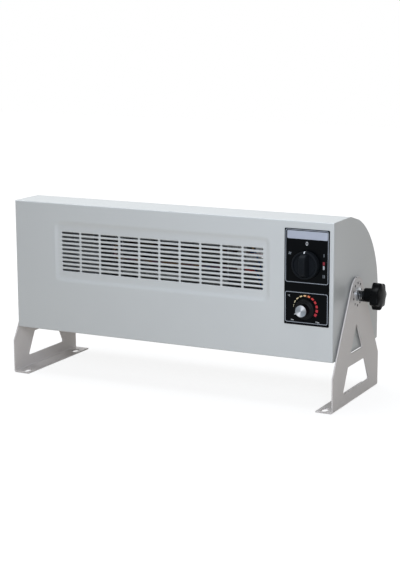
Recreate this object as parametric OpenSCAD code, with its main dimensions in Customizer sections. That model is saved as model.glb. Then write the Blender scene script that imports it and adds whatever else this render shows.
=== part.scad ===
// Fan heater: a painted sheet steel casing that tilts between two leg brackets on star knobs.
// A cross-flow fan at the back blows over two heating tubes and out through the front slots.
// Millimetres. +X is to the right, the front faces -Y, +Z is up and the feet stand at z = 0.

/* [Casing] */
// Width of the casing over both side panels
body_w = 530; // [500:5:600]
// Height of the casing
body_h = 200; // [196:1:230]
// Depth of the casing from its front face to its straight back wall
body_d = 178; // [172:1:200]
// Thickness of the casing sheets
sheet_t = 1; // [0.8:0.1:1.4]
// Outside radius of the folds round the front panel
fold_r = 3; // [2:0.5:5]
// Radius of the curved back
back_r = 128; // [122:1:132]
// Depth at which the flat top ends
top_flat = 64; // [56:1:72]
// Depth at which the sloped strip of the top meets the curved back
crown_y = 95; // [85:1:105]

/* [Grille] */
// Length of one slot, over its round ends
slot_l = 31.1; // [26:0.1:34]
// Height of one slot
slot_h = 3.2; // [2.4:0.1:3.8]
// Slots in a row
slot_cols = 10; // [6:1:11]
// Rows of slots
slot_rows = 10; // [6:1:10]
// Width of the bar between two slots of a row
slot_bar = 3; // [2:0.1:4]
// Distance from one row of slots to the next
row_pitch = 6.4; // [5.6:0.1:7]
// Centre of the slots, to the right of the middle of the casing
grille_x = -13.4; // [-20:0.1:-5]
// Centre of the slots below the top of the casing
grille_drop = 74; // [72:1:80]
// Depth of the pressed field round the slots
press_depth = 2.5; // [1.5:0.1:3.5]
// Width of the sloped edge of the pressed field
press_slope = 9; // [6:0.5:11]
// Flat margin beside the slots, inside the sloped edge
press_side = 4; // [2:0.5:8]
// Flat margin above and below the slots, inside the sloped edge
press_rim = 9; // [4:0.5:11]

/* [Controls] */
// Width of the control plate
label_w = 68.5; // [62:0.5:72]
// Height of the control plate
label_h = 138; // [130:1:142]
// Thickness of the control plate
label_t = 0.8; // [0.5:0.1:1.5]
// Distance from the right edge of the casing to the control plate
label_edge = 6; // [4:0.5:9]
// Distance from the top of the casing to the control plate
label_drop = 11; // [8:0.5:14]
// Centre of the selector knob, in from the right edge of the control plate
selector_in = 34.3; // [32:0.1:38]
// Centre of the selector knob above the bottom edge of the control plate
selector_up = 87.5; // [82:0.5:92]
// Diameter of the selector knob
selector_d = 39.5; // [34:0.5:44]
// Height of the selector knob above the control plate
selector_l = 20; // [17:0.5:24]
// Height of the selector knob's round rim above the control plate
selector_rim = 9.8; // [8:0.2:12]
// Thickness of the selector knob's grip bar at its top
selector_bar = 8; // [6:0.5:10]
// Centre of the thermostat dial, in from the right edge of the control plate
dial_in = 36.3; // [33:0.1:38]
// Centre of the thermostat dial above the bottom edge of the control plate
dial_up = 23.2; // [22:0.1:27]
// Diameter of the dial's skirt
dial_d = 29; // [25:0.5:32]
// Height of the dial above the control plate
dial_l = 16; // [13:0.5:19]
// Diameter of the dial's metal cap
cap_d = 16.6; // [15:0.1:20]
// Thickness of the dial's metal cap
cap_t = 1.2; // [0.8:0.1:2]
// Diameter of both control shafts
control_shaft_d = 6; // [5:0.1:7]
// Width of the rotary switch
switch_w = 40; // [34:1:42]
// Height of the rotary switch
switch_h = 42; // [36:1:46]
// Depth of the rotary switch
switch_d = 32; // [26:1:36]
// Width and height of the thermostat
thermostat_w = 36; // [30:1:40]
// Depth of the thermostat
thermostat_d = 22; // [18:1:26]

/* [Legs] */
// Thickness of the leg plates
leg_t = 2; // [1.6:0.1:3]
// Clearance between a leg plate and the side panel
leg_gap = 2.5; // [1.5:0.1:4]
// Length of a leg along its foot
leg_w = 180; // [170:1:190]
// Slope of the leg's upper edges from upright, in degrees
leg_slope = 30; // [28:1:32]
// Radius of the leg's round top
leg_top_r = 25.3; // [24.5:0.1:28]
// Depth of the tilting axis behind the front face
pivot_y = 82; // [76:1:88]
// Height of the tilting axis above the floor
pivot_z = 157.5; // [150:0.5:175]
// Height of the tilting axis above the bottom of the casing
pivot_up = 85; // [78:1:92]
// Rise of the pressed boss round the tilting axis
boss_rise = 0.5; // [0.3:0.1:1.5]
// Diameter of the hollow behind the pressed boss
boss_d = 42; // [40:0.5:43]
// Diameter of the ring of index holes
ring_d = 32.8; // [31:0.1:34]
// Diameter of one index hole
ring_hole_d = 3.5; // [2.5:0.1:4.2]
// Index holes in the ring
ring_count = 10; // [6:1:12]
// Width of the foot flange, from the outer face of the leg
foot_w = 26.4; // [24:0.1:30]
// Outside radius of the fold above the foot
foot_fold_r = 3.5; // [2.5:0.5:5]
// Width of a foot slot
foot_slot_w = 10; // [7:0.5:11]
// Length of a foot slot
foot_slot_l = 18; // [14:0.5:20]
// Centre of the foot slots from the outer face of the leg
foot_slot_in = 16.5; // [13.5:0.1:18]
// Centre of the front foot slot from the front end of the foot
foot_slot_front = 12; // [11.5:0.5:20]
// Distance between the centres of the two foot slots
foot_slot_pitch = 143; // [120:1:148]
// Height of the lower edge of the large window
window_low = 19; // [15:0.5:24]
// Height of the large window
window_h = 36.7; // [30:0.1:38]
// Width of the large window along its lower edge
window_base = 103.6; // [90:0.1:106]
// Width of the large window along its upper edge
window_top = 65.8; // [56:0.1:68]
// Height of the lower edge of the small window
peak_low = 73; // [70:0.5:78]
// Height of the small window
peak_h = 42; // [34:0.5:44]
// Width of the small window along its lower edge
peak_base = 49; // [40:0.5:50]
// Radius of the window corners
window_r = 2.5; // [1.5:0.1:3]

/* [Star knobs] */
// Diameter of the knob head over its lobes
knob_d = 40.5; // [36:0.5:46]
// Lobes round the knob head
knob_lobes = 7; // [5:1:9]
// Depth of the grooves between the lobes
knob_groove = 3; // [2.5:0.5:5]
// Length of the lobed head, without its domed end
knob_head = 12.2; // [10:0.1:20]
// Height of the domed end
knob_dome = 2.9; // [2:0.1:4]
// Diameter of the knob's neck
neck_d = 20.5; // [18:0.5:22]
// Length of the knob's neck
neck_l = 11.6; // [9:0.1:14]
// Diameter of the knob's threaded stud
stud_d = 8; // [7:0.5:9]
// Length of thread inside the casing
stud_reach = 13; // [11:0.5:16]
// Outside diameter of the clamp spring
spring_d = 16; // [15:0.5:18]
// Wire diameter of the clamp spring
wire_d = 1.6; // [1.2:0.1:1.7]
// Turns of the clamp spring
spring_turns = 3; // [2:1:3]
// Length of the clamp spring when clamped
spring_l = 8.8; // [7.6:0.1:10]
// Diameter of the washers at both ends of the clamp spring
washer_d = 20; // [18:0.5:22]
// Thickness of the thrust washer between spring and knob
washer_t = 1.5; // [1:0.1:2]
// Thickness of the seat washer between leg and spring
seat_t = 2.2; // [1.5:0.1:3]

/* [Fan] */
// Diameter of the fan wheel
wheel_d = 60; // [56:1:60]
// Length of the fan wheel
wheel_l = 204; // [190:1:208]
// Blades round the fan wheel
wheel_blades = 24; // [16:1:30]
// Thickness of the fan wheel's end discs and ribs
wheel_disc_t = 2; // [1.5:0.1:3]
// Gap between the fan wheel and each side plate of its frame
wheel_gap = 7; // [6:0.5:10]
// Thickness of the fan frame's side plates
frame_t = 1.2; // [1:0.1:1.6]
// Centre of the fan frame to the left of the slots' centre
frame_left = 10; // [6:0.5:14]
// Distance from the mouth of the air duct back to the fan axis
duct_reach = 79; // [76:0.5:84]
// Distance from the back wall to the fan axis
axis_back = 68; // [66:1:72]
// Height of the fan axis above the slots' centre
axis_rise = 12; // [9:0.5:12]
// Running gap below the fan wheel
scroll_gap = 7; // [5:0.5:8]
// Height of the air duct
duct_h = 49; // [47:0.5:50]
// Diameter of the fan shaft
shaft_d = 5; // [4:0.1:6]

/* [Motor] */
// Width and basic height of the motor's laminated core
core_w = 60; // [54:1:60]
// Thickness of the laminated core along the shaft
core_t = 20; // [16:1:24]
// Diameter of the rotor
rotor_d = 25; // [22:0.5:27]
// Distance from the fan frame to the laminated core
core_gap = 12; // [11:0.5:16]
// Diameter of the motor's cooling fan
cooler_d = 52; // [40:1:56]

/* [Heating tubes] */
// Diameter of a heating tube
tube_d = 7; // [6:0.1:8]
// Distance between the two runs of one tube
tube_pitch = 24; // [20:0.5:26]
// Distance between the two tubes along the air flow
tube_row = 18; // [14:0.5:20]
// Distance from the duct mouth to the front tube
tube_in = 15; // [12:0.5:17]

/* [Cable entry] */
// Distance from the right edge of the casing to the cable gland
gland_in = 65; // [55:1:80]
// Height of the cable gland above the bottom of the casing
gland_up = 35; // [30:1:45]
// Diameter of the hole for the cable
gland_bore_d = 8; // [6:0.1:9]

/* [Hidden] */
$fn = 48;

// Small clearances: a shaft in its bore, a fixed piece beside another, a part that moves past another
shaft_clear = 0.05;
fit_clear = 0.1;
run_clear = 0.3;

// Places that several pieces share
half_w = body_w / 2;
inner_w = half_w - sheet_t;
body_z = pivot_z - pivot_up;
back_cy = body_d - back_r;
back_ch = body_h - back_r;
crown_h = back_ch + sqrt(pow(back_r, 2) - pow(crown_y - back_cy, 2));
crown_slope = atan2(body_h - crown_h, crown_y - top_flat);
gland_x = half_w - gland_in;
gland_hex_t = 4;
gland_dome_l = 9;
gland_wall = 3.6;
gland_thread_r = gland_bore_d / 2 + gland_wall;
gland_hex_r = gland_thread_r + 3.4;
gland_dome_r = gland_thread_r + 1.8;
gland_nut_t = 4;
gland_end_y = body_d - sheet_t - gland_nut_t - 2;
// The whole part stands centred on its box, from the selector knob's face to the gland's end
y_front = -label_t - selector_l;
y_back = body_d + gland_hex_t + gland_dome_l;
y_shift = -(y_front + y_back) / 2;

grille_h = body_h - grille_drop;
field_w = slot_cols * slot_l + (slot_cols - 1) * slot_bar;
field_h = (slot_rows - 1) * row_pitch + slot_h;
press_r = 8;

label_x = half_w - label_edge - label_w / 2;
label_z = body_h - label_drop - label_h;
label_r = 1.5;
selector_x = half_w - label_edge - selector_in;
selector_z = label_z + selector_up;
dial_x = half_w - label_edge - dial_in;
dial_z = label_z + dial_up;
panel_hole_d = control_shaft_d + 4;
knob_clear = 0.4;
shaft_in_knob = 7;
tab_l = 8;
tab_w = 6.3;
tab_t = 0.8;

// Stack of pieces along the tilting axis, from the side panel outwards
leg_x = half_w + leg_gap;
boss_in = leg_x + boss_rise;
boss_out = boss_in + leg_t;
boss_slant = 2;
boss_hole_d = stud_d + 1;
seat_x = boss_out + seat_t;
washer_x = seat_x + spring_l + fit_clear;
knob_x = washer_x + washer_t + run_clear;
stud_in_knob = 14;
nut_l = 6.5;
nut_flange_t = 2;
nut_flange_r = 15;

frame_l = wheel_l + 2 * wheel_gap;
frame_x = grille_x - frame_left;
frame_x0 = frame_x - frame_l / 2;
frame_x1 = frame_x + frame_l / 2;
axis_y = body_d - axis_back;
axis_h = grille_h + axis_rise;
duct_front = axis_y - duct_reach;
wheel_r = wheel_d / 2;
wheel_x0 = frame_x - wheel_l / 2;
wheel_x1 = frame_x + wheel_l / 2;
duct_low = axis_h - wheel_r - scroll_gap;
duct_top = duct_low + duct_h;
duct_lip = 6;
frame_front = duct_front;
frame_back = axis_y + wheel_r + 8;
frame_foot = 12;
hub_r = 7;
hub_l = 12;
bearing_r = 5;
bearing_l = 8;
rubber_r = 11;

core_x1 = frame_x0 - frame_t - core_gap;
core_x0 = core_x1 - core_t;
rotor_gap = 0.4;
limb = 12;
core_top = 20;
core_drop = 45;
coil_pad = 8;
strap_t = 2;
strap_gap = 4;
strap_half = 26;
strap_ears = 12;
strap_h = 16;
spacer_r = 3.8;
strap_screw_r = 2;
bearing_boss_r = 7;
bearing_boss_l = 6;
cooler_l = 10;
cooler_x1 = core_x0 - strap_gap - strap_t - bearing_boss_l - 2;
cooler_x0 = cooler_x1 - cooler_l;

hanger_edge = 8;
tube_y1 = duct_front + tube_in;
tube_y2 = tube_y1 + tube_row;
tube_mid_h = duct_low + duct_h / 2;
tube_end = frame_x1 + frame_t + 9;
tube_bend_x = frame_x0 + 30;
pin_d = 2.5;
pin_l = 11;
bead_l = 5;
hanger_x = tube_bend_x + 6;

block_l = 50;
block_w = 20;
block_h = 20;
block_hole_r = 3;
block_hole_l = 8;
block_from_gland = 75;
block_from_back = 62;
block_x = gland_x - block_from_gland;
block_y = body_d - block_from_back;
bulb_d = 6;
bulb_l = 80;
bulb_gap = 6;
bulb_x1 = frame_x1 + frame_t + bulb_gap + bulb_l;
bulb_y = 70;
bulb_h = sheet_t + 10;
screw_r = 2;
screw_head_r = 3.7;
screw_head_t = 2.2;
screw_l = 8;
tab_in = 14;
tab_edge = 12;
front_tab_l = 30;
front_tab_up = 20;
screw_heights = [28, 52];
foot_screws = [for (x = [frame_x0 - frame_t - frame_foot / 2, frame_x1 + frame_t + frame_foot / 2],
    y = [frame_front + 15, frame_back - 15]) [x, y]];
side_screws = [pivot_y - 40, pivot_y + 40];

// A flat shape in width and height, carried back along +Y from y0
module along_y(y0, len) {
    translate([0, y0 + len, 0]) rotate([90, 0, 0]) linear_extrude(len) children();
}

// A flat shape in depth and height, carried to the right along +X from x0
module along_x(x0, len) {
    translate([x0, 0, 0]) rotate([90, 0, 90]) linear_extrude(len) children();
}

// A rod along X, and a rod along Y
module rod_x(x0, x1, y, h, r) {
    translate([x0, y, h]) rotate([0, 90, 0]) cylinder(h = x1 - x0, r = r);
}
module rod_y(x, y0, y1, h, r) {
    translate([x, y0, h]) rotate([-90, 0, 0]) cylinder(h = y1 - y0, r = r);
}

// The casing's own frame stands on the bottom of the casing, the legs' frame on the floor
module in_casing() { translate([0, y_shift, body_z]) children(); }
module on_floor() { translate([0, y_shift, 0]) children(); }

// Pieces of the right-hand side, turned over for the left-hand one
module on_side(side) { mirror([side < 0 ? 1 : 0, 0, 0]) children(); }

// A corner rounded with radius r: the arc from one edge to the next, in a list of points
function unit(v) = v / norm(v);
function corner_arc(a, b, c, r, steps) =
    let (u = unit(a - b), v = unit(c - b), half = acos(u * v) / 2,
        mid = unit(u + v), centre = b + mid * r / sin(half),
        start = b + u * r / tan(half), turn = 180 - 2 * half,
        sense = (u[0] * v[1] - u[1] * v[0]) < 0 ? 1 : -1, from = start - centre)
    [for (i = [0:steps]) let (t = sense * turn * i / steps)
        centre + [from[0] * cos(t) - from[1] * sin(t), from[0] * sin(t) + from[1] * cos(t)]];
function rounded(pts, r, steps = 5) =
    let (n = len(pts))
    [for (i = [0:n - 1]) each corner_arc(pts[(i + n - 1) % n], pts[i], pts[(i + 1) % n], r, steps)];
function rectangle(w, h) = [[-w / 2, -h / 2], [w / 2, -h / 2], [w / 2, h / 2], [-w / 2, h / 2]];

// Tube along a path: rings of points carried with the path, so that the tube doesn't twist
function smooth(p, steps) =
    [for (i = [0:len(p) - 2])
        let (a = p[max(i - 1, 0)], b = p[i], c = p[i + 1], d = p[min(i + 2, len(p) - 1)])
        for (k = [0:steps - 1]) let (t = k / steps)
            0.5 * (2 * b + (c - a) * t + (2 * a - 5 * b + 4 * c - d) * t * t
                + (3 * b - a - 3 * c + d) * t * t * t), p[len(p) - 1]];
function heading(p, i) = unit(p[min(i + 1, len(p) - 1)] - p[max(i - 1, 0)]);
function across(v, t) = unit(v - (v * t) * t);
// A route that leaves one end along u and reaches the other against v, straight there for 2 d
function route(a, u, mids, b, v, d) =
    concat([a], smooth(concat([a + 2 * d * u], mids, [b + 2 * d * v]), 5), [b]);
module tube(path, d, sides = 6) {
    n = len(path);
    first = abs(heading(path, 0)[2]) > 0.9 ? [1, 0, 0] : [0, 0, 1];
    sides_v = [for (i = 0, v = across(first, heading(path, 0)); i < n;
        i = i + 1, v = i < n ? across(v, heading(path, i)) : v) v];
    points = [for (i = [0:n - 1]) let (t = heading(path, i), u = sides_v[i], w = cross(t, u))
        for (k = [0:sides - 1]) path[i] + d / 2 * (cos(360 * k / sides) * u + sin(360 * k / sides) * w)];
    skin = [for (i = [0:n - 2]) for (k = [0:sides - 1])
        let (a = i * sides + k, b = i * sides + (k + 1) % sides)
        each [[a, a + sides, b], [b, a + sides, b + sides]]];
    ends = [for (k = [1:sides - 2]) each [[0, k, k + 1],
        [(n - 1) * sides, (n - 1) * sides + k + 1, (n - 1) * sides + k]]];
    polyhedron(points = points, faces = concat(skin, ends));
}

// Side view of the casing, drawn in by d: flat top, sloped strip, curved back, straight back wall
module profile(d) {
    by = back_cy + (back_r - d) * (crown_y - back_cy) / back_r;
    bh = back_ch + (back_r - d) * (crown_h - back_ch) / back_r;
    translate([d, d]) square([body_d - 2 * d, back_ch - d]);
    polygon([[d, back_ch], [by, back_ch], [by, bh],
        [top_flat - d * tan(crown_slope / 2), body_h - d], [d, body_h - d]]);
    intersection() {
        translate([back_cy, back_ch]) circle(back_r - d, $fn = 180);
        translate([by, back_ch]) square([back_r, back_r]);
    }
}

// Slots of the front grille, and of the air intake in the back
module slot_2d() {
    reach = (slot_l - slot_h) / 2;
    for (s = [-1, 1]) translate([s * reach, 0]) circle(slot_h / 2, $fn = 24);
    square([2 * reach, slot_h], center = true);
}
module slot_field() {
    for (c = [0:slot_cols - 1])
        for (r = [0:slot_rows - 1])
            translate([(c - (slot_cols - 1) / 2) * (slot_l + slot_bar),
                (r - (slot_rows - 1) / 2) * row_pitch])
                slot_2d();
}

// The pressed field: its size at a depth y below the front face
function press_size(y) =
    [field_w + 2 * press_side + 2 * press_slope * (1 - y / press_depth),
    field_h + 2 * press_rim + 2 * press_slope * (1 - y / press_depth)];
module press_shape(y0, y1, lift) {
    hull() {
        for (y = [y0, y1])
            along_y(y + lift, 0.01)
                translate([grille_x, grille_h])
                    polygon(rounded(rectangle(press_size(y)[0], press_size(y)[1]), press_r));
    }
}

// Solid inside the folded front panel, drawn in by d and open towards the back by reach
module front_block(d, reach) {
    intersection() {
        translate([0, 0, d]) linear_extrude(body_h - 2 * d) front_plan(half_w, d, reach);
        along_x(-half_w + d, body_w - 2 * d)
            translate([0, body_h / 2]) rotate(90) mirror([0, 1]) front_plan(body_h / 2, d, reach);
    }
}
module front_plan(half, d, reach) {
    translate([-half + fold_r, d]) square([2 * (half - fold_r), fold_r - d]);
    for (s = [-1, 1])
        intersection() {
            translate([s * (half - fold_r), fold_r]) circle(fold_r - d);
            translate([-half, 0]) square([2 * half, fold_r]);
        }
    if (reach > 0) translate([-half + d, fold_r]) square([2 * (half - d), reach]);
}

module front_panel() {
    floor_size = press_size(press_depth);
    color("gainsboro") in_casing() {
        difference() {
            union() {
                difference() {
                    front_block(0, 0);
                    front_block(sheet_t, 1);
                }
                press_shape(-0.2, press_depth, sheet_t);
            }
            press_shape(-0.5, press_depth, 0);
            along_y(0, press_depth + 2 * sheet_t)
                translate([grille_x, grille_h])
                    polygon(rounded(rectangle(floor_size[0] - 1, floor_size[1] - 1), press_r));
            rod_y(selector_x, -1, sheet_t + 1, selector_z, panel_hole_d / 2);
            rod_y(dial_x, -1, sheet_t + 1, dial_z, panel_hole_d / 2);
        }
        along_y(press_depth, sheet_t)
            translate([grille_x, grille_h])
                difference() {
                    polygon(rounded(rectangle(floor_size[0] - 0.4, floor_size[1] - 0.4), press_r));
                    slot_field();
                }
    }
}

module top_rear_cover() {
    color("gainsboro") in_casing()
        difference() {
            along_x(-inner_w, 2 * inner_w)
                difference() {
                    profile(0);
                    profile(sheet_t);
                    translate([-1, -1]) square([body_d - sheet_t + 1, body_h / 3]);
                    translate([-1, -1]) square([fold_r + 1, body_h + 2]);
                }
            along_y(body_d / 2, body_d) translate([frame_x, axis_h]) slot_field();
            rod_y(gland_x, body_d - 3, body_d + 1, gland_up, gland_thread_r + fit_clear);
            for (s = [-1, 1], h = screw_heights)
                rod_y(s * (inner_w - tab_in / 2), body_d - 3, body_d + 1, h, screw_r + fit_clear);
        }
}

module bottom_plate() {
    color("gainsboro") in_casing()
        difference() {
            translate([-inner_w, fold_r, 0]) cube([2 * inner_w, body_d - sheet_t - fold_r, sheet_t]);
            for (p = foot_screws) translate([p[0], p[1], -1]) cylinder(h = 4, r = screw_r + fit_clear);
            for (s = [-1, 1], y = side_screws)
                translate([s * (inner_w - tab_in / 2), y, -1]) cylinder(h = 4, r = screw_r + fit_clear);
        }
}

// Side panel with its welded tabs for the back, the bottom and the front panel
module side_panel(side) {
    color("lightgray") in_casing() on_side(side)
        difference() {
            union() {
                along_x(inner_w, sheet_t)
                    difference() {
                        profile(0);
                        translate([-1, -1]) square([fold_r + 1, body_h + 2]);
                    }
                translate([inner_w - tab_in, body_d - 2 * sheet_t, screw_heights[0] - tab_edge])
                    cube([tab_in + sheet_t / 2, sheet_t, screw_heights[1] - screw_heights[0] + 2 * tab_edge]);
                translate([inner_w - tab_in, side_screws[0] - tab_edge, sheet_t])
                    cube([tab_in + sheet_t / 2, side_screws[1] - side_screws[0] + 2 * tab_edge, sheet_t]);
                for (h = [front_tab_up, body_h - front_tab_up - front_tab_l]) front_tab(h);
            }
            rod_x(inner_w - 1, half_w + 1, pivot_y, pivot_up, boss_hole_d / 2);
            for (h = screw_heights)
                rod_y(inner_w - tab_in / 2, body_d - 4, body_d + 1, h, screw_r + fit_clear);
            for (y = side_screws)
                translate([inner_w - tab_in / 2, y, -1]) cylinder(h = 6, r = screw_r + fit_clear);
        }
}
// Stepped tab that reaches round the fold and lies against the back of the front panel
module front_tab(h) {
    step_x = half_w - fold_r - 1.5;
    translate([step_x - tab_in, sheet_t, h]) cube([tab_in + sheet_t, sheet_t, front_tab_l]);
    translate([step_x, sheet_t, h]) cube([sheet_t, fold_r + sheet_t, front_tab_l]);
    translate([step_x, fold_r + sheet_t, h])
        cube([inner_w - step_x + sheet_t / 2, sheet_t, front_tab_l]);
}

module leg_outline() {
    tip_y = leg_top_r * cos(leg_slope);
    tip_z = pivot_z + leg_top_r * sin(leg_slope);
    knee_z = tip_z - (leg_w / 2 - tip_y) / tan(leg_slope);
    difference() {
        union() {
            translate([pivot_y, pivot_z]) circle(leg_top_r, $fn = 96);
            translate([pivot_y, 0])
                polygon([[-leg_w / 2, foot_fold_r], [leg_w / 2, foot_fold_r], [leg_w / 2, knee_z],
                    [tip_y, tip_z], [-tip_y, tip_z], [-leg_w / 2, knee_z]]);
        }
        translate([pivot_y, 0]) {
            polygon(rounded([[-window_base / 2, window_low], [window_base / 2, window_low],
                [window_top / 2, window_low + window_h], [-window_top / 2, window_low + window_h]],
                window_r));
            polygon(rounded([[-peak_base / 2, peak_low], [peak_base / 2, peak_low],
                [0, peak_low + peak_h]], window_r));
        }
    }
}

// Leg bracket: plate, fold and foot flange, with the pressed boss and its ring of index holes
module leg(side) {
    outer = leg_x + leg_t;
    boss_r = boss_d / 2;
    color("silver") on_floor() on_side(side)
        difference() {
            union() {
                difference() {
                    along_x(leg_x, leg_t) leg_outline();
                    rod_x(leg_x - 1, outer + 1, pivot_y, pivot_z, boss_r);
                }
                translate([leg_x, pivot_y, pivot_z]) rotate([0, 90, 0])
                    rotate_extrude($fn = 96)
                        polygon([[boss_hole_d / 2, boss_rise], [boss_r - boss_slant, boss_rise], [boss_r, 0],
                            [boss_r + boss_slant, 0], [boss_r + boss_slant, leg_t], [boss_r + 1, leg_t],
                            [boss_r - boss_slant + 1, boss_rise + leg_t],
                            [boss_hole_d / 2, boss_rise + leg_t]]);
                along_y(pivot_y - leg_w / 2, leg_w) {
                    intersection() {
                        translate([outer - foot_fold_r, foot_fold_r])
                            difference() {
                                circle(foot_fold_r);
                                circle(foot_fold_r - leg_t);
                            }
                        translate([outer - foot_fold_r, 0]) square(foot_fold_r);
                    }
                    translate([outer - foot_w, 0]) square([foot_w - foot_fold_r, leg_t]);
                }
            }
            for (k = [0:ring_count - 1])
                translate([0, pivot_y, pivot_z]) rotate([16 + k * 360 / ring_count, 0, 0])
                    rod_x(leg_x, boss_out + 1, ring_d / 2, 0, ring_hole_d / 2);
            for (y = [0, foot_slot_pitch])
                translate([outer - foot_slot_in, pivot_y - leg_w / 2 + foot_slot_front + y, -1])
                    linear_extrude(leg_t + 2) {
                        reach = (foot_slot_l - foot_slot_w) / 2;
                        for (s = [-1, 1]) translate([0, s * reach]) circle(foot_slot_w / 2);
                        square([foot_slot_w, 2 * reach], center = true);
                    }
        }
}

module friction_disc(side) {
    color("dimgray") in_casing() on_side(side)
        difference() {
            rod_x(half_w, boss_in - run_clear, pivot_y, pivot_up, boss_d / 2 - boss_slant - 0.5);
            rod_x(half_w - 1, boss_in + 1, pivot_y, pivot_up, boss_hole_d / 2);
        }
}

module pivot_nut(side) {
    color("silver") in_casing() on_side(side)
        difference() {
            union() {
                rod_x(inner_w - nut_flange_t, inner_w, pivot_y, pivot_up, nut_flange_r);
                along_x(inner_w - nut_l - nut_flange_t, nut_l + nut_flange_t / 2)
                    translate([pivot_y, pivot_up]) circle(stud_d * 0.93, $fn = 6);
            }
            rod_x(inner_w - nut_l - 5, half_w, pivot_y, pivot_up, stud_d / 2 + shaft_clear);
        }
}

// Open-coiled clamp spring between its two washers, hanging on the stud. Its least gap to itself is
// printed
spring_mean_r = (spring_d - wire_d) / 2;
spring_drop = (spring_d - stud_d) / 2 - wire_d - run_clear;
spring_rise = spring_l - wire_d - fit_clear;
spring_steps = spring_turns * 8;
spring_path = [for (i = [-1:spring_steps + 1])
    let (k = min(max(i, 0), spring_steps), a = 360 * k / 8, over = (i - k) * wire_d)
    [seat_x + wire_d / 2 + fit_clear / 2 + spring_rise * k / spring_steps,
    spring_mean_r * cos(a) - over * sin(a), spring_mean_r * sin(a) + over * cos(a) - spring_drop]];
spring_self_gap = min([for (i = [0:len(spring_path) - 7]) for (j = [i + 6:len(spring_path) - 1])
    norm(spring_path[i] - spring_path[j])]) - wire_d;
echo("clamp spring, least gap to itself in mm:", spring_self_gap);
module clamp_spring(side) {
    color("dimgray") on_floor() on_side(side)
        translate([0, pivot_y, pivot_z]) tube(spring_path, wire_d);
}

module washer(side, x, t) {
    on_floor() on_side(side)
        difference() {
            rod_x(x, x + t, pivot_y, pivot_z, washer_d / 2);
            rod_x(x - 1, x + t + 1, pivot_y, pivot_z, stud_d / 2 + run_clear);
        }
}
module knob_washer(side) {
    color("dimgray") washer(side, washer_x, washer_t);
}
module seat_washer(side) {
    color("silver") washer(side, boss_out, seat_t);
}

// Lobed knob head: rings of one wavy outline, drawn in at the rim and up over the domed end
knob_steps = knob_lobes * 12;
function lobe_r(a) = knob_d / 2 - knob_groove * pow(0.5 - 0.5 * cos(knob_lobes * a), 0.7);
knob_edge = 1.2;
knob_shoulder = 2;
knob_rings = [[0, 0.94], [knob_edge, 1], [knob_head - knob_shoulder, 1],
    [knob_head - knob_shoulder / 4, 0.96], [knob_head, 0.91],
    [knob_head + 0.45 * knob_dome, 0.72], [knob_head + 0.8 * knob_dome, 0.45],
    [knob_head + 0.97 * knob_dome, 0.18]];
module knob_head_shape(x0) {
    n = knob_steps;
    m = len(knob_rings);
    points = [for (g = knob_rings) for (k = [0:n - 1]) let (a = 360 * k / n, r = lobe_r(a) * g[1])
        [x0 + g[0], r * cos(a), r * sin(a)], [x0, 0, 0], [x0 + knob_head + knob_dome, 0, 0]];
    skin = [for (i = [0:m - 2]) for (k = [0:n - 1]) let (a = i * n + k, b = i * n + (k + 1) % n)
        each [[a, a + n, b], [b, a + n, b + n]]];
    ends = [for (k = [0:n - 1]) let (j = (k + 1) % n)
        each [[m * n, k, j], [m * n + 1, (m - 1) * n + j, (m - 1) * n + k]]];
    polyhedron(points = points, faces = concat(skin, ends));
}
module star_knob(side) {
    color([0.12, 0.12, 0.13]) on_floor() on_side(side)
        difference() {
            union() {
                translate([0, pivot_y, pivot_z]) knob_head_shape(knob_x + neck_l);
                rod_x(knob_x, knob_x + neck_l + 4, pivot_y, pivot_z, neck_d / 2);
            }
            rod_x(knob_x - 1, knob_x + stud_in_knob, pivot_y, pivot_z, stud_d / 2 + 0.02);
        }
}
module knob_stud(side) {
    color("silver") on_floor() on_side(side) {
        rod_x(inner_w - stud_reach + 1, knob_x + stud_in_knob, pivot_y, pivot_z, stud_d / 2);
        translate([inner_w - stud_reach, pivot_y, pivot_z]) rotate([0, 90, 0])
            cylinder(h = 1, r1 = stud_d / 2 - 1, r2 = stud_d / 2);
    }
}

module control_plate() {
    color([0.1, 0.1, 0.11]) in_casing()
        along_y(-label_t, label_t)
            difference() {
                translate([label_x, label_z + label_h / 2])
                    polygon(rounded(rectangle(label_w, label_h), label_r));
                translate([selector_x, selector_z]) circle(panel_hole_d / 2);
                translate([dial_x, dial_z]) circle(panel_hole_d / 2);
            }
}

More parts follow.
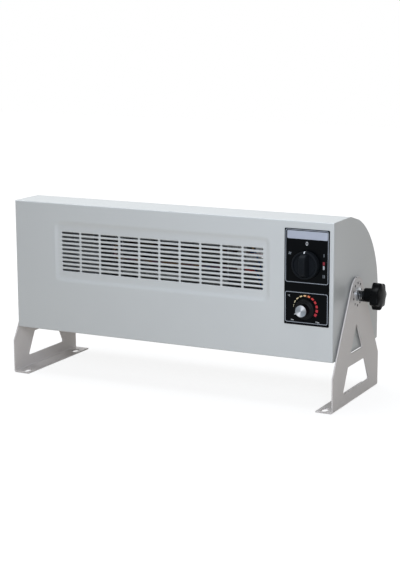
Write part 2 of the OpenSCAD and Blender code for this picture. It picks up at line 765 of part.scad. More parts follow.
// Selector knob: drum with a raised rim, dished inside the rim, and a tapered grip bar across the
// dish. The bar's crest falls to the dish at both ends along a curve of the fourth power.
selector_dish = 2.8;
selector_land = 1;
selector_steps = 12;
module selector_knob() {
    r = selector_d / 2;
    rim_h = selector_rim - knob_clear;
    dish_h = rim_h - selector_dish;
    grip_h = selector_l - knob_clear;
    edge = 1.6;
    dish_r = r - edge - selector_land;
    grip_r = dish_r - 0.6;
    foot = 0.9 * selector_bar;
    crest = [for (k = [-selector_steps:selector_steps]) let (t = sin(90 * k / selector_steps))
        [grip_r * t, dish_h + (grip_h - dish_h) * sqrt(max(0, 1 - pow(t, 4)))]];
    color([0.16, 0.16, 0.17]) in_casing()
        difference() {
            translate([selector_x, -label_t - knob_clear, selector_z]) rotate([90, 0, 0]) {
                rotate_extrude($fn = 96)
                    polygon([[0, 0], [r, 0], [r, rim_h - edge], [r - edge / 3, rim_h - edge / 3],
                        [r - edge, rim_h], [dish_r, rim_h], [dish_r - 0.8, dish_h], [0, dish_h]]);
                intersection() {
                    rotate([90, 0, 0]) linear_extrude(2 * r, center = true)
                        polygon([[-foot, 1], [foot, 1],
                            [selector_bar / 2 + 0.6, grip_h - 1.2], [selector_bar / 2 - 0.6, grip_h],
                            [-selector_bar / 2 + 0.6, grip_h], [-selector_bar / 2 - 0.6, grip_h - 1.2]]);
                    rotate([90, 0, 90]) linear_extrude(2 * r, center = true)
                        polygon(concat([[-grip_r, 1]], crest, [[grip_r, 1]]));
                }
            }
            rod_y(selector_x, -label_t - knob_clear - shaft_in_knob, -label_t, selector_z,
                control_shaft_d / 2 + 0.02);
        }
}
module selector_shaft() {
    color("silver") in_casing()
        rod_y(selector_x, -label_t - knob_clear - shaft_in_knob, sheet_t + switch_d / 2, selector_z,
            control_shaft_d / 2);
}

// Rotary switch: moulded block behind the front panel, open round its shaft
module rotary_switch() {
    color([0.85, 0.84, 0.8]) in_casing()
        difference() {
            union() {
                translate([selector_x - switch_w / 2, sheet_t, selector_z - switch_h / 2])
                    cube([switch_w, switch_d, switch_h]);
                rod_y(selector_x, sheet_t, sheet_t + switch_d + 2, selector_z, switch_w / 4);
            }
            rod_y(selector_x, 0, sheet_t + switch_d / 2 + 1, selector_z, control_shaft_d / 2 + shaft_clear);
            for (s = [-1, 1])
                translate([selector_x + s * switch_w / 2 - 3, sheet_t + 8, selector_z - 8]) cube([6, 6, 16]);
        }
}

// Flat brass tabs on the backs of the switch and the thermostat
switch_back = sheet_t + switch_d;
thermostat_back = sheet_t + thermostat_d;
switch_tab_at = [for (s = [-1, 1], t = [-1, 1])
    [selector_x + s * (switch_w / 2 - 6), selector_z + t * (switch_h / 2 - 7)]];
thermostat_tab_at = [for (s = [-1, 1]) [dial_x + s * (thermostat_w / 2 - 6), dial_z + 6]];
module switch_tabs() {
    color("goldenrod") in_casing() {
        for (p = switch_tab_at)
            translate([p[0] - tab_t / 2, switch_back, p[1] - tab_w / 2]) cube([tab_t, tab_l, tab_w]);
        for (p = thermostat_tab_at)
            translate([p[0] - tab_t / 2, thermostat_back, p[1] - tab_w / 2]) cube([tab_t, tab_l, tab_w]);
    }
}

// Thermostat dial: black skirt and cone, with a metal cap pressed on its end
module thermostat_dial() {
    y1 = -label_t - knob_clear;
    l = dial_l - knob_clear - cap_t;
    color([0.12, 0.12, 0.13]) in_casing()
        difference() {
            translate([dial_x, y1, dial_z]) rotate([90, 0, 0])
                rotate_extrude($fn = 72)
                    polygon([[0, 0], [dial_d / 2, 0], [dial_d / 2, 1.4], [dial_d / 2 - 1, 2.6],
                        [cap_d / 2 + 2, 4.2], [cap_d / 2 + 0.3, l - 1], [cap_d / 2, l], [0, l]]);
            rod_y(dial_x, y1 - shaft_in_knob, y1 + 1, dial_z, control_shaft_d / 2 + 0.02);
        }
}
module thermostat_cap() {
    color("whitesmoke") in_casing()
        translate([dial_x, -label_t - dial_l + cap_t, dial_z]) rotate([90, 0, 0])
            rotate_extrude($fn = 72)
                polygon([[0, 0], [cap_d / 2, 0], [cap_d / 2, cap_t - 0.3], [cap_d / 2 - 0.3, cap_t],
                    [0, cap_t]]);
}
module thermostat_shaft() {
    color("silver") in_casing()
        rod_y(dial_x, -label_t - knob_clear - shaft_in_knob, sheet_t + thermostat_d / 2, dial_z,
            control_shaft_d / 2);
}
module thermostat_body() {
    color("silver") in_casing()
        difference() {
            translate([dial_x - thermostat_w / 2, sheet_t, dial_z - thermostat_w / 2])
                cube([thermostat_w, thermostat_d, thermostat_w]);
            rod_y(dial_x, 0, sheet_t + thermostat_d / 2 + 1, dial_z, control_shaft_d / 2 + shaft_clear);
        }
}

// Sensing bulb in its clip on the bottom plate, with the fine tube to the thermostat
capillary_d = 1.6;
capillary_path = route([dial_x - 6, thermostat_back, dial_z - 10], [0, 1, 0],
    [[dial_x - 7, thermostat_back + 18, dial_z - 14], [dial_x - 12, bulb_y - 6, bulb_h + 20],
    [dial_x - 26, bulb_y - 1, bulb_h + 3]],
    [bulb_x1 - 1, bulb_y, bulb_h], [1, 0, 0], capillary_d);
module thermostat_bulb() {
    color("peru") in_casing() {
        rod_x(bulb_x1 - bulb_l, bulb_x1, bulb_y, bulb_h, bulb_d / 2);
        tube(capillary_path, capillary_d);
    }
}
module bulb_clip() {
    r = bulb_d / 2;
    clip_x = bulb_x1 - bulb_l / 2;
    color("silver") in_casing()
        difference() {
            union() {
                rod_x(clip_x - 5, clip_x + 5, bulb_y, bulb_h, r + 1.2);
                translate([clip_x - 5, bulb_y - r - 1.2, sheet_t]) cube([10, 2 * r + 2.4, bulb_h - sheet_t]);
                translate([clip_x - 5, bulb_y - r - 9, sheet_t]) cube([10, 2 * r + 18, 1.2]);
            }
            rod_x(clip_x - 6, clip_x + 6, bulb_y, bulb_h, r + fit_clear);
            translate([clip_x - 6, bulb_y - r / 2, bulb_h]) cube([12, r, 2 * r]);
        }
}

// Side plates of the fan frame: they stand on the bottom plate and follow the curved back
module frame_outline() {
    intersection() {
        translate([frame_front, sheet_t])
            square([frame_back - frame_front, duct_top + duct_lip + 20 - sheet_t]);
        union() {
            translate([back_cy, back_ch]) circle(back_r - sheet_t - 3, $fn = 180);
            square([body_d - sheet_t - 3, back_ch]);
            translate([0, back_ch - 1]) square([back_cy, back_r - sheet_t - 3]);
        }
    }
}
module frame_plate(side) {
    x = side < 0 ? frame_x0 - frame_t : frame_x1;
    foot = side < 0 ? frame_x0 - frame_t - frame_foot : frame_x1;
    color("silver") in_casing()
        difference() {
            union() {
                along_x(x, frame_t) frame_outline();
                translate([foot, frame_front, sheet_t])
                    cube([frame_foot + frame_t, frame_back - frame_front, frame_t]);
            }
            rod_x(x - 1, x + frame_t + 1, axis_y, axis_h, side < 0 ? hub_r : rubber_r);
            for (p = foot_screws) translate([p[0], p[1], 0]) cylinder(h = 6, r = screw_r + fit_clear);
            if (side > 0)
                for (y = [tube_y1, tube_y2], s = [-1, 1])
                    rod_x(x - 1, x + frame_t + 1, y, tube_mid_h + s * tube_pitch / 2, tube_d / 2 + fit_clear);
            if (side < 0)
                for (s = [-1, 1])
                    rod_x(x - 1, x + frame_t + 1, axis_y + s * strap_half, axis_h, strap_screw_r + fit_clear);
        }
}

// Air guide: curved behind and below the wheel, then flat to the mouth, with a turned-down lip
module scroll_wall() {
    r = wheel_r + scroll_gap;
    color("silver") in_casing()
        along_x(frame_x0, frame_l) {
            intersection() {
                translate([axis_y, axis_h])
                    difference() {
                        circle(r + sheet_t, $fn = 96);
                        circle(r, $fn = 96);
                    }
                translate([axis_y, axis_h - 2 * r]) square([2 * r, 2 * r + r * sin(25)]);
            }
            translate([duct_front, duct_low - sheet_t]) square([axis_y - duct_front, sheet_t]);
            translate([duct_front, duct_low - duct_lip]) square([sheet_t, duct_lip - sheet_t / 2]);
        }
}
module duct_roof() {
    color("silver") in_casing()
        along_x(frame_x0, frame_l) {
            translate([duct_front, duct_top]) square([axis_y - wheel_r - duct_front, sheet_t]);
            translate([duct_front, duct_top + sheet_t / 2]) square([sheet_t, duct_lip]);
        }
}

// Cross-flow wheel: curved blades between discs, with a hub at each end
blade_in = wheel_r - 6;
function blade_arc(r, from, to) =
    [for (i = [0:5]) let (a = from + (to - from) * i / 5) [r * cos(a), r * sin(a)]];
module wheel_blade() {
    translate([(blade_in + wheel_r) / 2 - 0.8, 0])
        polygon(concat(blade_arc(3.6, -60, 70), blade_arc(2.9, 70, -60)));
}
module fan_wheel() {
    disc_x = [wheel_x0, wheel_x0 + wheel_l / 3, wheel_x0 + 2 * wheel_l / 3, wheel_x1 - wheel_disc_t];
    color("darkgray") in_casing()
        difference() {
            union() {
                along_x(wheel_x0 + wheel_disc_t / 2, wheel_l - wheel_disc_t)
                    translate([axis_y, axis_h])
                        for (k = [0:wheel_blades - 1]) rotate(k * 360 / wheel_blades) wheel_blade();
                for (x = [disc_x[0], disc_x[3]]) rod_x(x, x + wheel_disc_t, axis_y, axis_h, wheel_r);
                for (x = [disc_x[1], disc_x[2]])
                    difference() {
                        rod_x(x, x + wheel_disc_t / 2, axis_y, axis_h, wheel_r);
                        rod_x(x - 1, x + wheel_disc_t, axis_y, axis_h, blade_in - 1);
                    }
                rod_x(wheel_x0, wheel_x0 + hub_l, axis_y, axis_h, hub_r);
                rod_x(wheel_x1 - hub_l, wheel_x1, axis_y, axis_h, hub_r);
            }
            rod_x(wheel_x0 - 1, wheel_x0 + hub_l + 1, axis_y, axis_h, shaft_d / 2 + 0.02);
            rod_x(wheel_x1 - hub_l - 1, wheel_x1 + 1, axis_y, axis_h, shaft_d / 2 + 0.02);
        }
}
module fan_shaft() {
    color("silver") in_casing() rod_x(cooler_x0 - 2, wheel_x0 + hub_l, axis_y, axis_h, shaft_d / 2);
}
module stub_shaft() {
    color("silver") in_casing()
        rod_x(wheel_x1 - hub_l, frame_x1 + frame_t + bearing_l / 2 + 1, axis_y, axis_h, shaft_d / 2);
}

// Sintered bearing in a rubber ring that sits in the right-hand frame plate
bearing_x = frame_x1 + frame_t / 2 - bearing_l / 2;
module fan_bearing() {
    color("darkgoldenrod") in_casing()
        difference() {
            rod_x(bearing_x, bearing_x + bearing_l, axis_y, axis_h, bearing_r);
            rod_x(bearing_x - 1, bearing_x + bearing_l + 1, axis_y, axis_h, shaft_d / 2 + shaft_clear);
        }
}
module bearing_rubber() {
    color([0.15, 0.15, 0.15]) in_casing()
        difference() {
            union() {
                rod_x(frame_x1, frame_x1 + frame_t, axis_y, axis_h, rubber_r - 0.02);
                rod_x(frame_x1 - 2, frame_x1, axis_y, axis_h, rubber_r + 2);
                rod_x(frame_x1 + frame_t, frame_x1 + frame_t + 2, axis_y, axis_h, rubber_r + 2);
            }
            rod_x(frame_x1 - 3, frame_x1 + frame_t + 3, axis_y, axis_h, bearing_r + 0.02);
        }
}

// Shaded-pole motor: laminated core with the coil on its lower limb
module motor_core() {
    w = core_w / 2;
    color("dimgray") in_casing()
        difference() {
            translate([core_x0, axis_y - w, axis_h - core_drop]) cube([core_t, core_w, core_drop + core_top]);
            translate([core_x0 - 1, axis_y - w + limb, axis_h - core_drop + limb])
                cube([core_t + 2, core_w - 2 * limb, core_drop - limb - rotor_d / 2 - 8]);
            rod_x(core_x0 - 1, core_x1 + 1, axis_y, axis_h, rotor_d / 2 + rotor_gap);
            for (s = [-1, 1])
                rod_x(core_x0 - 1, core_x1 + 1, axis_y + s * strap_half, axis_h, strap_screw_r + fit_clear);
        }
}
module motor_coil() {
    w = core_w / 2 - limb - 1;
    low = axis_h - core_drop;
    color("darkred") in_casing()
        difference() {
            along_y(axis_y - w, 2 * w)
                translate([(core_x0 + core_x1) / 2, low + limb / 2])
                    polygon(rounded(rectangle(core_t + 2 * coil_pad, limb + 2 * coil_pad), 4));
            translate([core_x0 - fit_clear, axis_y - w - 1, low - fit_clear])
                cube([core_t + 2 * fit_clear, 2 * w + 2, limb + 2 * fit_clear]);
        }
}
module motor_rotor() {
    color("gray") in_casing()
        difference() {
            rod_x(core_x0, core_x1, axis_y, axis_h, rotor_d / 2);
            rod_x(core_x0 - 1, core_x1 + 1, axis_y, axis_h, shaft_d / 2 + 0.02);
        }
}
// Bearing strap across one face of the core, with spacers down to the core
module motor_bracket(x_core, sense) {
    x = sense < 0 ? x_core - strap_gap - strap_t : x_core + strap_gap;
    boss_x = sense < 0 ? x - bearing_boss_l : x;
    core_x = sense < 0 ? x_core - strap_gap : x_core;
    color("lightslategray") in_casing()
        difference() {
            union() {
                along_x(x, strap_t)
                    translate([axis_y, axis_h])
                        polygon(rounded(rectangle(2 * strap_half + strap_ears, strap_h), 5));
                rod_x(boss_x, boss_x + bearing_boss_l + strap_t / 2, axis_y, axis_h, bearing_boss_r);
                for (s = [-1, 1])
                    rod_x(core_x, core_x + strap_gap, axis_y + s * strap_half, axis_h, spacer_r);
            }
            rod_x(boss_x - 1, boss_x + bearing_boss_l + strap_t + 1, axis_y, axis_h,
                shaft_d / 2 + shaft_clear);
            for (s = [-1, 1])
                rod_x(x - 9, x + 9, axis_y + s * strap_half, axis_h, strap_screw_r + fit_clear);
        }
}
// Long screws through both straps and the core, with sleeves that hold the motor off the frame
module motor_screws() {
    head_x = core_x0 - strap_gap - strap_t;
    sleeve_x = core_x1 + strap_gap + strap_t;
    color("silver") in_casing()
        for (s = [-1, 1]) {
            rod_x(head_x - 2.5, head_x, axis_y + s * strap_half, axis_h, 3.5);
            rod_x(head_x - 1, frame_x0 + 3, axis_y + s * strap_half, axis_h, strap_screw_r);
            rod_x(frame_x0, frame_x0 + 2.5, axis_y + s * strap_half, axis_h, 3.5);
            rod_x(sleeve_x, frame_x0 - frame_t, axis_y + s * strap_half, axis_h, 3.5);
        }
}
module cooling_fan() {
    color("ivory") in_casing()
        difference() {
            union() {
                rod_x(cooler_x0, cooler_x1, axis_y, axis_h, hub_r);
                for (k = [0:4])
                    translate([(cooler_x0 + cooler_x1) / 2, axis_y, axis_h]) rotate([k * 72, 0, 0])
                        rotate([0, 0, 55]) translate([-6, -0.6, hub_r - 1])
                            cube([12, 1.2, cooler_d / 2 - hub_r]);
            }
            rod_x(cooler_x0 - 8, cooler_x1 + 8, axis_y, axis_h, shaft_d / 2 + 0.02);
        }
}

// U-shaped heating tube with a connecting pin on each end
module heating_tube(y) {
    color("slategray") in_casing() {
        for (s = [-1, 1]) {
            rod_x(tube_bend_x, tube_end, y, tube_mid_h + s * tube_pitch / 2, tube_d / 2);
            rod_x(tube_end - 1, tube_end + pin_l, y, tube_mid_h + s * tube_pitch / 2, pin_d / 2);
        }
        translate([tube_bend_x, y, tube_mid_h]) rotate([90, 0, 0])
            rotate_extrude(angle = 180, start = 90, $fn = 64)
                translate([tube_pitch / 2, 0]) circle(tube_d / 2, $fn = 32);
    }
}
module tube_insulators() {
    color("ivory") in_casing()
        for (y = [tube_y1, tube_y2], s = [-1, 1])
            difference() {
                rod_x(tube_end, tube_end + bead_l, y, tube_mid_h + s * tube_pitch / 2, tube_d / 2);
                rod_x(tube_end - 1, tube_end + bead_l + 1, y, tube_mid_h + s * tube_pitch / 2,
                    pin_d / 2 + 0.02);
            }
}
module tube_hanger() {
    color("silver") in_casing()
        difference() {
            translate([hanger_x, tube_y1 - hanger_edge, duct_low])
                cube([sheet_t, tube_row + 2 * hanger_edge, duct_h]);
            for (y = [tube_y1, tube_y2], s = [-1, 1])
                rod_x(hanger_x - 1, hanger_x + sheet_t + 1, y, tube_mid_h + s * tube_pitch / 2,
                    tube_d / 2 + fit_clear);
        }
}

// Bimetal cut-out on the outside of the right frame plate, with two tabs
cutout_x = frame_x1 + frame_t;
cutout_y = tube_y1 + 8;
cutout_h = duct_top + 13;
cutout_l = 9;
cutout_r = 8;
cutout_strap_w = 10;
cutout_strap_h = 24;
module thermal_cutout() {
    color([0.2, 0.2, 0.2]) in_casing() {
        rod_x(cutout_x, cutout_x + cutout_l, cutout_y, cutout_h, cutout_r);
        translate([cutout_x, cutout_y - cutout_strap_w / 2, cutout_h - cutout_strap_h / 2])
            cube([frame_t, cutout_strap_w, cutout_strap_h]);
        for (s = [-1, 1])
            translate([cutout_x + cutout_l - 1, cutout_y + s * 4 - tab_t / 2, cutout_h - tab_w / 2])
                cube([tab_l + 1, tab_t, tab_w]);
    }
}

module terminal_block() {
    color("ivory") in_casing()
        difference() {
            translate([block_x, block_y, sheet_t]) cube([block_l, block_w, block_h]);
            for (k = [0:3])
                translate([block_x + block_l * (k + 0.5) / 4, block_y + block_w / 2,
                    sheet_t + block_h - block_hole_l])
                    cylinder(h = block_hole_l + 1, r = block_hole_r);
        }
}

// Cable gland: threaded sleeve through the back wall, hexagon and domed nut outside, nut inside
module cable_gland() {
    color([0.2, 0.2, 0.21]) in_casing() {
        difference() {
            union() {
                rod_y(gland_x, gland_end_y, body_d + 1, gland_up, gland_thread_r);
                along_y(body_d, gland_hex_t)
                    translate([gland_x, gland_up]) circle(gland_hex_r, $fn = 6);
                translate([gland_x, body_d + gland_hex_t, gland_up]) rotate([-90, 0, 0])
                    rotate_extrude()
                        polygon([[0, 0], [gland_dome_r, 0], [gland_dome_r, gland_dome_l - 4],
                            [gland_dome_r - 2.6, gland_dome_l], [0, gland_dome_l]]);
            }
            rod_y(gland_x, gland_end_y - 1, y_back + 1, gland_up, gland_bore_d / 2);
        }
        difference() {
            along_y(body_d - sheet_t - gland_nut_t, gland_nut_t)
                translate([gland_x, gland_up]) circle(gland_hex_r, $fn = 6);
            rod_y(gland_x, gland_end_y, body_d, gland_up, gland_thread_r + 0.02);
        }
    }
}

// Screws: in the back wall and the bottom plate, into the side panels' tabs and the fan frame
module panel_screw() {
    cylinder(h = screw_l, r = screw_r);
    translate([0, 0, -screw_head_t]) cylinder(h = screw_head_t, r1 = screw_head_r - 0.8, r2 = screw_head_r);
}
module panel_screws() {
    color("silver") in_casing() {
        for (s = [-1, 1]) {
            for (h = screw_heights)
                translate([s * (inner_w - tab_in / 2), body_d, h]) rotate([90, 0, 0]) panel_screw();
            for (y = side_screws) translate([s * (inner_w - tab_in / 2), y, 0]) panel_screw();
        }
        for (p = foot_screws) translate([p[0], p[1], 0]) panel_screw();
    }
}

// Wires between the tabs of the controls, the block, the heating tubes' pins and the motor
wire_t = 2.4;
pin_x = tube_end + pin_l;
tube_low = tube_mid_h - tube_pitch / 2;
tube_high = tube_mid_h + tube_pitch / 2;
function between(a, b, t) = a + (b - a) * t;
function tab_end(p, back) = [p[0], back + tab_l, p[1]];
function block_way(k) = [block_x + block_l * (k + 0.5) / 4, block_y, sheet_t + 8];
// A wire hangs below the straight line between its two ends by sag
module wire(a, u, b, v, sag) {
    p = a + 8 * u;
    q = b + 8 * v;
    tube(route(a, u, [p, between(p, q, 0.33) + [0, 0, -sag], between(p, q, 0.67) + [0, 0, -sag], q],
        b, v, wire_t), wire_t);
}
module red_wires() {
    color("red") in_casing() {
        wire(tab_end(switch_tab_at[0], switch_back), [0, 1, 0], [pin_x, tube_y1, tube_low], [1, 0, 0], 8);
        wire(tab_end(switch_tab_at[3], switch_back), [0, 1, 0], [pin_x, tube_y1, tube_high], [1, 0, 0], 3);
        wire(tab_end(switch_tab_at[1], switch_back), [0, 1, 0],
            [cutout_x + cutout_l + tab_l, cutout_y - 4, cutout_h], [1, 0, 0], 0);
    }
}
module blue_wires() {
    motor_lead_x = (core_x0 + core_x1) / 2;
    motor_lead_h = axis_h - core_drop - coil_pad;
    behind = (frame_back + body_d - sheet_t) / 2;
    lead_h = 12;
    color("royalblue") in_casing() {
        wire(block_way(0), [0, -1, 0], [pin_x, tube_y2, tube_low], [1, 0, 0], 0);
        wire(block_way(1), [0, -1, 0], [pin_x, tube_y2, tube_high], [1, 0, 0], 0);
        wire(block_way(3), [0, -1, 0], tab_end(thermostat_tab_at[1], thermostat_back), [0, 1, 0], 0);
        tube(route([motor_lead_x, axis_y, motor_lead_h], [0, 0, -1],
            [[motor_lead_x, axis_y + 6, motor_lead_h - 25], [motor_lead_x + 8, behind - 6, 24],
            [frame_x0 + 10, behind, lead_h], [frame_x, behind, lead_h],
            [frame_x1 - 10, behind, lead_h], [block_x - 20, block_y + block_w / 2 + 6, lead_h]],
            [block_x, block_y + block_w / 2, sheet_t + 8], [-1, 0, 0], wire_t), wire_t);
    }
}

leg(-1);  // leg_left
leg(1);  // leg_right
clamp_spring(-1);  // clamp_spring_left
clamp_spring(1);  // clamp_spring_right
star_knob(-1);  // star_knob_left
star_knob(1);  // star_knob_right
knob_stud(-1);  // knob_stud_left
knob_stud(1);  // knob_stud_right
knob_washer(-1);  // knob_washer_left
knob_washer(1);  // knob_washer_right
seat_washer(-1);  // seat_washer_left
seat_washer(1);  // seat_washer_right
front_panel();
top_rear_cover();
bottom_plate();
side_panel(-1);  // side_panel_left
side_panel(1);  // side_panel_right
friction_disc(-1);  // friction_disc_left
friction_disc(1);  // friction_disc_right
pivot_nut(-1);  // pivot_nut_left
pivot_nut(1);  // pivot_nut_right
control_plate();
selector_knob();
selector_shaft();
rotary_switch();
switch_tabs();
thermostat_dial();
thermostat_cap();
thermostat_shaft();
thermostat_body();
thermostat_bulb();
bulb_clip();
frame_plate(-1);  // frame_plate_left
frame_plate(1);  // frame_plate_right
scroll_wall();
duct_roof();
fan_wheel();
fan_shaft();
stub_shaft();
fan_bearing();
bearing_rubber();
motor_core();
motor_coil();
motor_rotor();
motor_bracket(core_x1, 1);  // motor_bracket_inner
motor_bracket(core_x0, -1);  // motor_bracket_outer
motor_screws();
cooling_fan();
heating_tube(tube_y1);  // heating_tube_front
heating_tube(tube_y2);  // heating_tube_rear
tube_insulators();
tube_hanger();
thermal_cutout();
terminal_block();
red_wires();
blue_wires();
cable_gland();
panel_screws();
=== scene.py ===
# %% [markdown]
# # A tilting fan heater
# The heater is a folded steel casing that hangs between two leg brackets on star knobs. The packed
# CAD model gives every piece its true size and place. This script gives each of them its finish, and
# models afresh the pieces whose looks depend on soft edges, print or fine detail.

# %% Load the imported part
import math

import bmesh
import bpy
import numpy as np
from mathutils import Matrix, Vector


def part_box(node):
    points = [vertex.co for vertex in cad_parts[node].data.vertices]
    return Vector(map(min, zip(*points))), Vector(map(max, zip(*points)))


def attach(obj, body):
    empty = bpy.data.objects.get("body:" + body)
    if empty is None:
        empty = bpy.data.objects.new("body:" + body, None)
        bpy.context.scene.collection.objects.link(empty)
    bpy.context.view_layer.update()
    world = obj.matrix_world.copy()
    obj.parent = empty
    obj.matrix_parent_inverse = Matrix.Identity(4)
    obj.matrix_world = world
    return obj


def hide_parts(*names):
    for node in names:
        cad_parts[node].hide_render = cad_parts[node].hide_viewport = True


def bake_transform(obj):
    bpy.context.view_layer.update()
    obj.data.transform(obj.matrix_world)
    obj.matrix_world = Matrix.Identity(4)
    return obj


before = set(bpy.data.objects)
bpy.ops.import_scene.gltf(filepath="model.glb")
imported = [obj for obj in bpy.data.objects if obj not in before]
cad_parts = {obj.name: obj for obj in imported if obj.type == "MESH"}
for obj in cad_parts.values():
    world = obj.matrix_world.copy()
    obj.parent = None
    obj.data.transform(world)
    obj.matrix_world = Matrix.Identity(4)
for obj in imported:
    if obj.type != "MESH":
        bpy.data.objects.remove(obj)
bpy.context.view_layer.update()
MM = 0.001


# %% [markdown]
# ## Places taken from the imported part
# Nothing is placed by guesswork: the edges of the casing, the middle of each control shaft and the
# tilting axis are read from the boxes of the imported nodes. All lengths below are millimetres, and
# only the finished meshes are in metres.

# %% Read the places
def box_mm(node):
    """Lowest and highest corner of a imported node, in millimetres."""
    low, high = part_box(node)
    return np.array(low) / MM, np.array(high) / MM


panel_low, panel_high = box_mm("front_panel")
plate_low = box_mm("control_plate")[0]
selector_centre = sum(box_mm("selector_shaft")) / 2
dial_centre = sum(box_mm("thermostat_shaft")) / 2
pivot_centre = sum(box_mm("knob_stud_right")) / 2
print("front panel from", np.round(panel_low, 1), "to", np.round(panel_high, 1))


# %% [markdown]
# ## The photograph's camera
# The photograph was taken with a long lens from the right, a little above the heater. A pinhole
# camera was fitted to the edges of the casing, so the focal length is known in pixels, and the
# sensor's long side of 36 mm spans the 570 pixels of the picture's height.

# %% Camera
photo_long_side = 570
focal_pixels = 1483.51
sensor_side = 36
camera_place = (1025.89, -1975.97, 596.33)
camera_yaw = 27.163
camera_pitch = 11.42
camera_roll = -0.27


def in_scene(name, data):
    """A new object that holds the data, linked to the scene."""
    item = bpy.data.objects.new(name, data)
    bpy.context.scene.collection.objects.link(item)
    return item


camera = in_scene("camera", bpy.data.cameras.new("camera"))
camera.data.sensor_width = sensor_side
camera.data.lens = focal_pixels / photo_long_side * sensor_side
camera.data.clip_start = 0.05
camera.data.clip_end = 60
camera.matrix_world = (
    Matrix.Translation([x * MM for x in camera_place])
    @ Matrix.Rotation(math.radians(camera_yaw), 4, "Z")
    @ Matrix.Rotation(math.radians(90 - camera_pitch), 4, "X")
    @ Matrix.Rotation(math.radians(camera_roll), 4, "Z")
)
bpy.context.scene.camera = camera
print("lens of %.1f mm" % camera.data.lens)


# %% [markdown]
# ## Helpers for materials
# A colour is written as the sRGB hex value that the eye would pick, and turned to linear once. One
# small function adds a node with its settings and links. Every pattern reads the piece's own
# coordinates in millimetres, so its scale is 1 over a real size such as a grain's width. A noise
# stays mostly between 0.3 and 0.7, so a gloss that follows it is mapped from there. A Mix node
# has sockets for several kinds of value: its inputs 6 and 7 and its output 2 are the colours.

# %% Colours and nodes
def linear(colour):
    """sRGB hex to linear RGBA: a straight line near black, and above it a power of 2.4."""
    srgb = np.array([int(colour[start:start + 2], 16) for start in (1, 3, 5)]) / 255
    light = np.where(srgb <= 0.04045, srgb / 12.92, ((srgb + 0.055) / 1.055) ** 2.4)
    return (*light.tolist(), 1.0)


def set_inputs(tree, node, inputs):
    """Each input named takes its value, or a link from another node's output; a node given alone
    stands for its first output."""
    for name, value in inputs.items():
        if isinstance(value, bpy.types.Node):
            value = value.outputs[0]
        if isinstance(value, bpy.types.NodeSocket):
            tree.links.new(value, node.inputs[name])
        else:
            node.inputs[name].default_value = value


def add_node(tree, kind, inputs=None, **settings):
    """Adds a node; its settings go by name, and its inputs take values or other nodes' outputs."""
    node = tree.nodes.new("ShaderNode" + kind)
    for name, value in settings.items():
        setattr(node, name, value)
    set_inputs(tree, node, inputs or {})
    return node


# %% Start of a material
def empty_tree(holder):
    """The node tree of a material or a world, with no nodes in it."""
    holder.use_nodes = True
    holder.node_tree.nodes.clear()
    return holder.node_tree


def point_in_mm(tree):
    """The surface point in the piece's own coordinates, in millimetres."""
    point = add_node(tree, "TexCoord")
    return add_node(tree, "VectorMath", {0: point.outputs["Object"], 1: (1 / MM,) * 3},
                    operation="MULTIPLY")


def start_material(name, **fixed):
    """A new material: its tree, its Principled shader with the fixed values set, and the surface
    point in millimetres."""
    material = bpy.data.materials.new(name)
    tree = empty_tree(material)
    shader = add_node(tree, "BsdfPrincipled", {socket.replace("_", " "): value
                                               for socket, value in fixed.items()})
    add_node(tree, "OutputMaterial", {"Surface": shader})
    return material, tree, shader, point_in_mm(tree)


# %% Colour, gloss and relief
noise_low = 0.3
noise_high = 0.7


def dress(tree, shader, tones, share, height, depth, roughness, spread=0.0):
    """The colour goes from one tone to the other by a share, and the height makes bumps depth mm
    deep. With a spread the roughness follows the share too, that much up and down."""
    colour = add_node(tree, "Mix", {0: share, 6: linear(tones[0]), 7: linear(tones[1])},
                      data_type="RGBA")
    bump = add_node(tree, "Bump", {"Height": height, "Distance": depth * MM, "Strength": 1.0})
    set_inputs(tree, shader, {"Base Color": colour.outputs[2], "Roughness": roughness,
                              "Normal": bump})
    if spread:
        gloss = add_node(tree, "MapRange", {0: share, 1: noise_low, 2: noise_high,
                                            3: roughness - spread, 4: roughness + spread})
        set_inputs(tree, shader, {"Roughness": gloss})
    return bump


# %% [markdown]
# ## Coated, moulded and pressed surfaces
# Powder coat, moulded plastic, rubber and fired ceramic differ in colour and gloss, but share one
# build: the colour drifts slowly between two close tones, and the skin has a fine grain that breaks
# up the highlight. Here one function makes them all from those real sizes. The bevel radius rounds
# the edges for the light alone, as the rounded edge of a sheet or a moulding catches a thin line of
# light.

# %% Grained surfaces
coat_gloss_spread = 0.04


def grained(name, tones, drift, grain, depth, roughness, bevel=0.0, **fixed):
    """Colour and gloss drift together over drift mm; bumps grain mm wide are depth mm deep."""
    material, tree, shader, place = start_material(name, **fixed)
    slow = add_node(tree, "TexNoise", {"Vector": place, "Scale": 1 / drift, "Detail": 3.0})
    fine = add_node(tree, "TexNoise", {"Vector": place, "Scale": 1 / grain, "Detail": 2.0})
    bump = dress(tree, shader, tones, slow, fine, depth, roughness, coat_gloss_spread)
    if bevel:
        soft = add_node(tree, "Bevel", {"Radius": bevel * MM}, samples=4)
        set_inputs(tree, bump, {"Normal": soft})
    return material


# %% [markdown]
# ## Bare metals
# A bare metal shows how it was worked. Drawn rod and wire have faint streaks along their length,
# zinc from a hot bath freezes into spangle, a turned face has rings round its axis, and a stack of
# laminations has a line at every sheet.

# %% Drawn and plated metal
streak_length = 20
streak_depth = 0.02
streak_gloss_spread = 0.07


def drawn_metal(name, tones, along, streak, roughness):
    """Streaks mm wide run along one axis, streak_length times as long, and change tone and gloss."""
    material, tree, shader, place = start_material(name, Metallic=1.0)
    narrow = [1 / streak] * 3
    narrow[along] /= streak_length
    stretched = add_node(tree, "VectorMath", {0: place, 1: narrow}, operation="MULTIPLY")
    lines = add_node(tree, "TexNoise", {"Vector": stretched, "Scale": 1.0, "Detail": 3.0})
    dress(tree, shader, tones, lines, lines, streak_depth, roughness, streak_gloss_spread)
    return material


# %% Galvanised sheet
bloom_size = 6
crystal_gloss_spread = 0.1


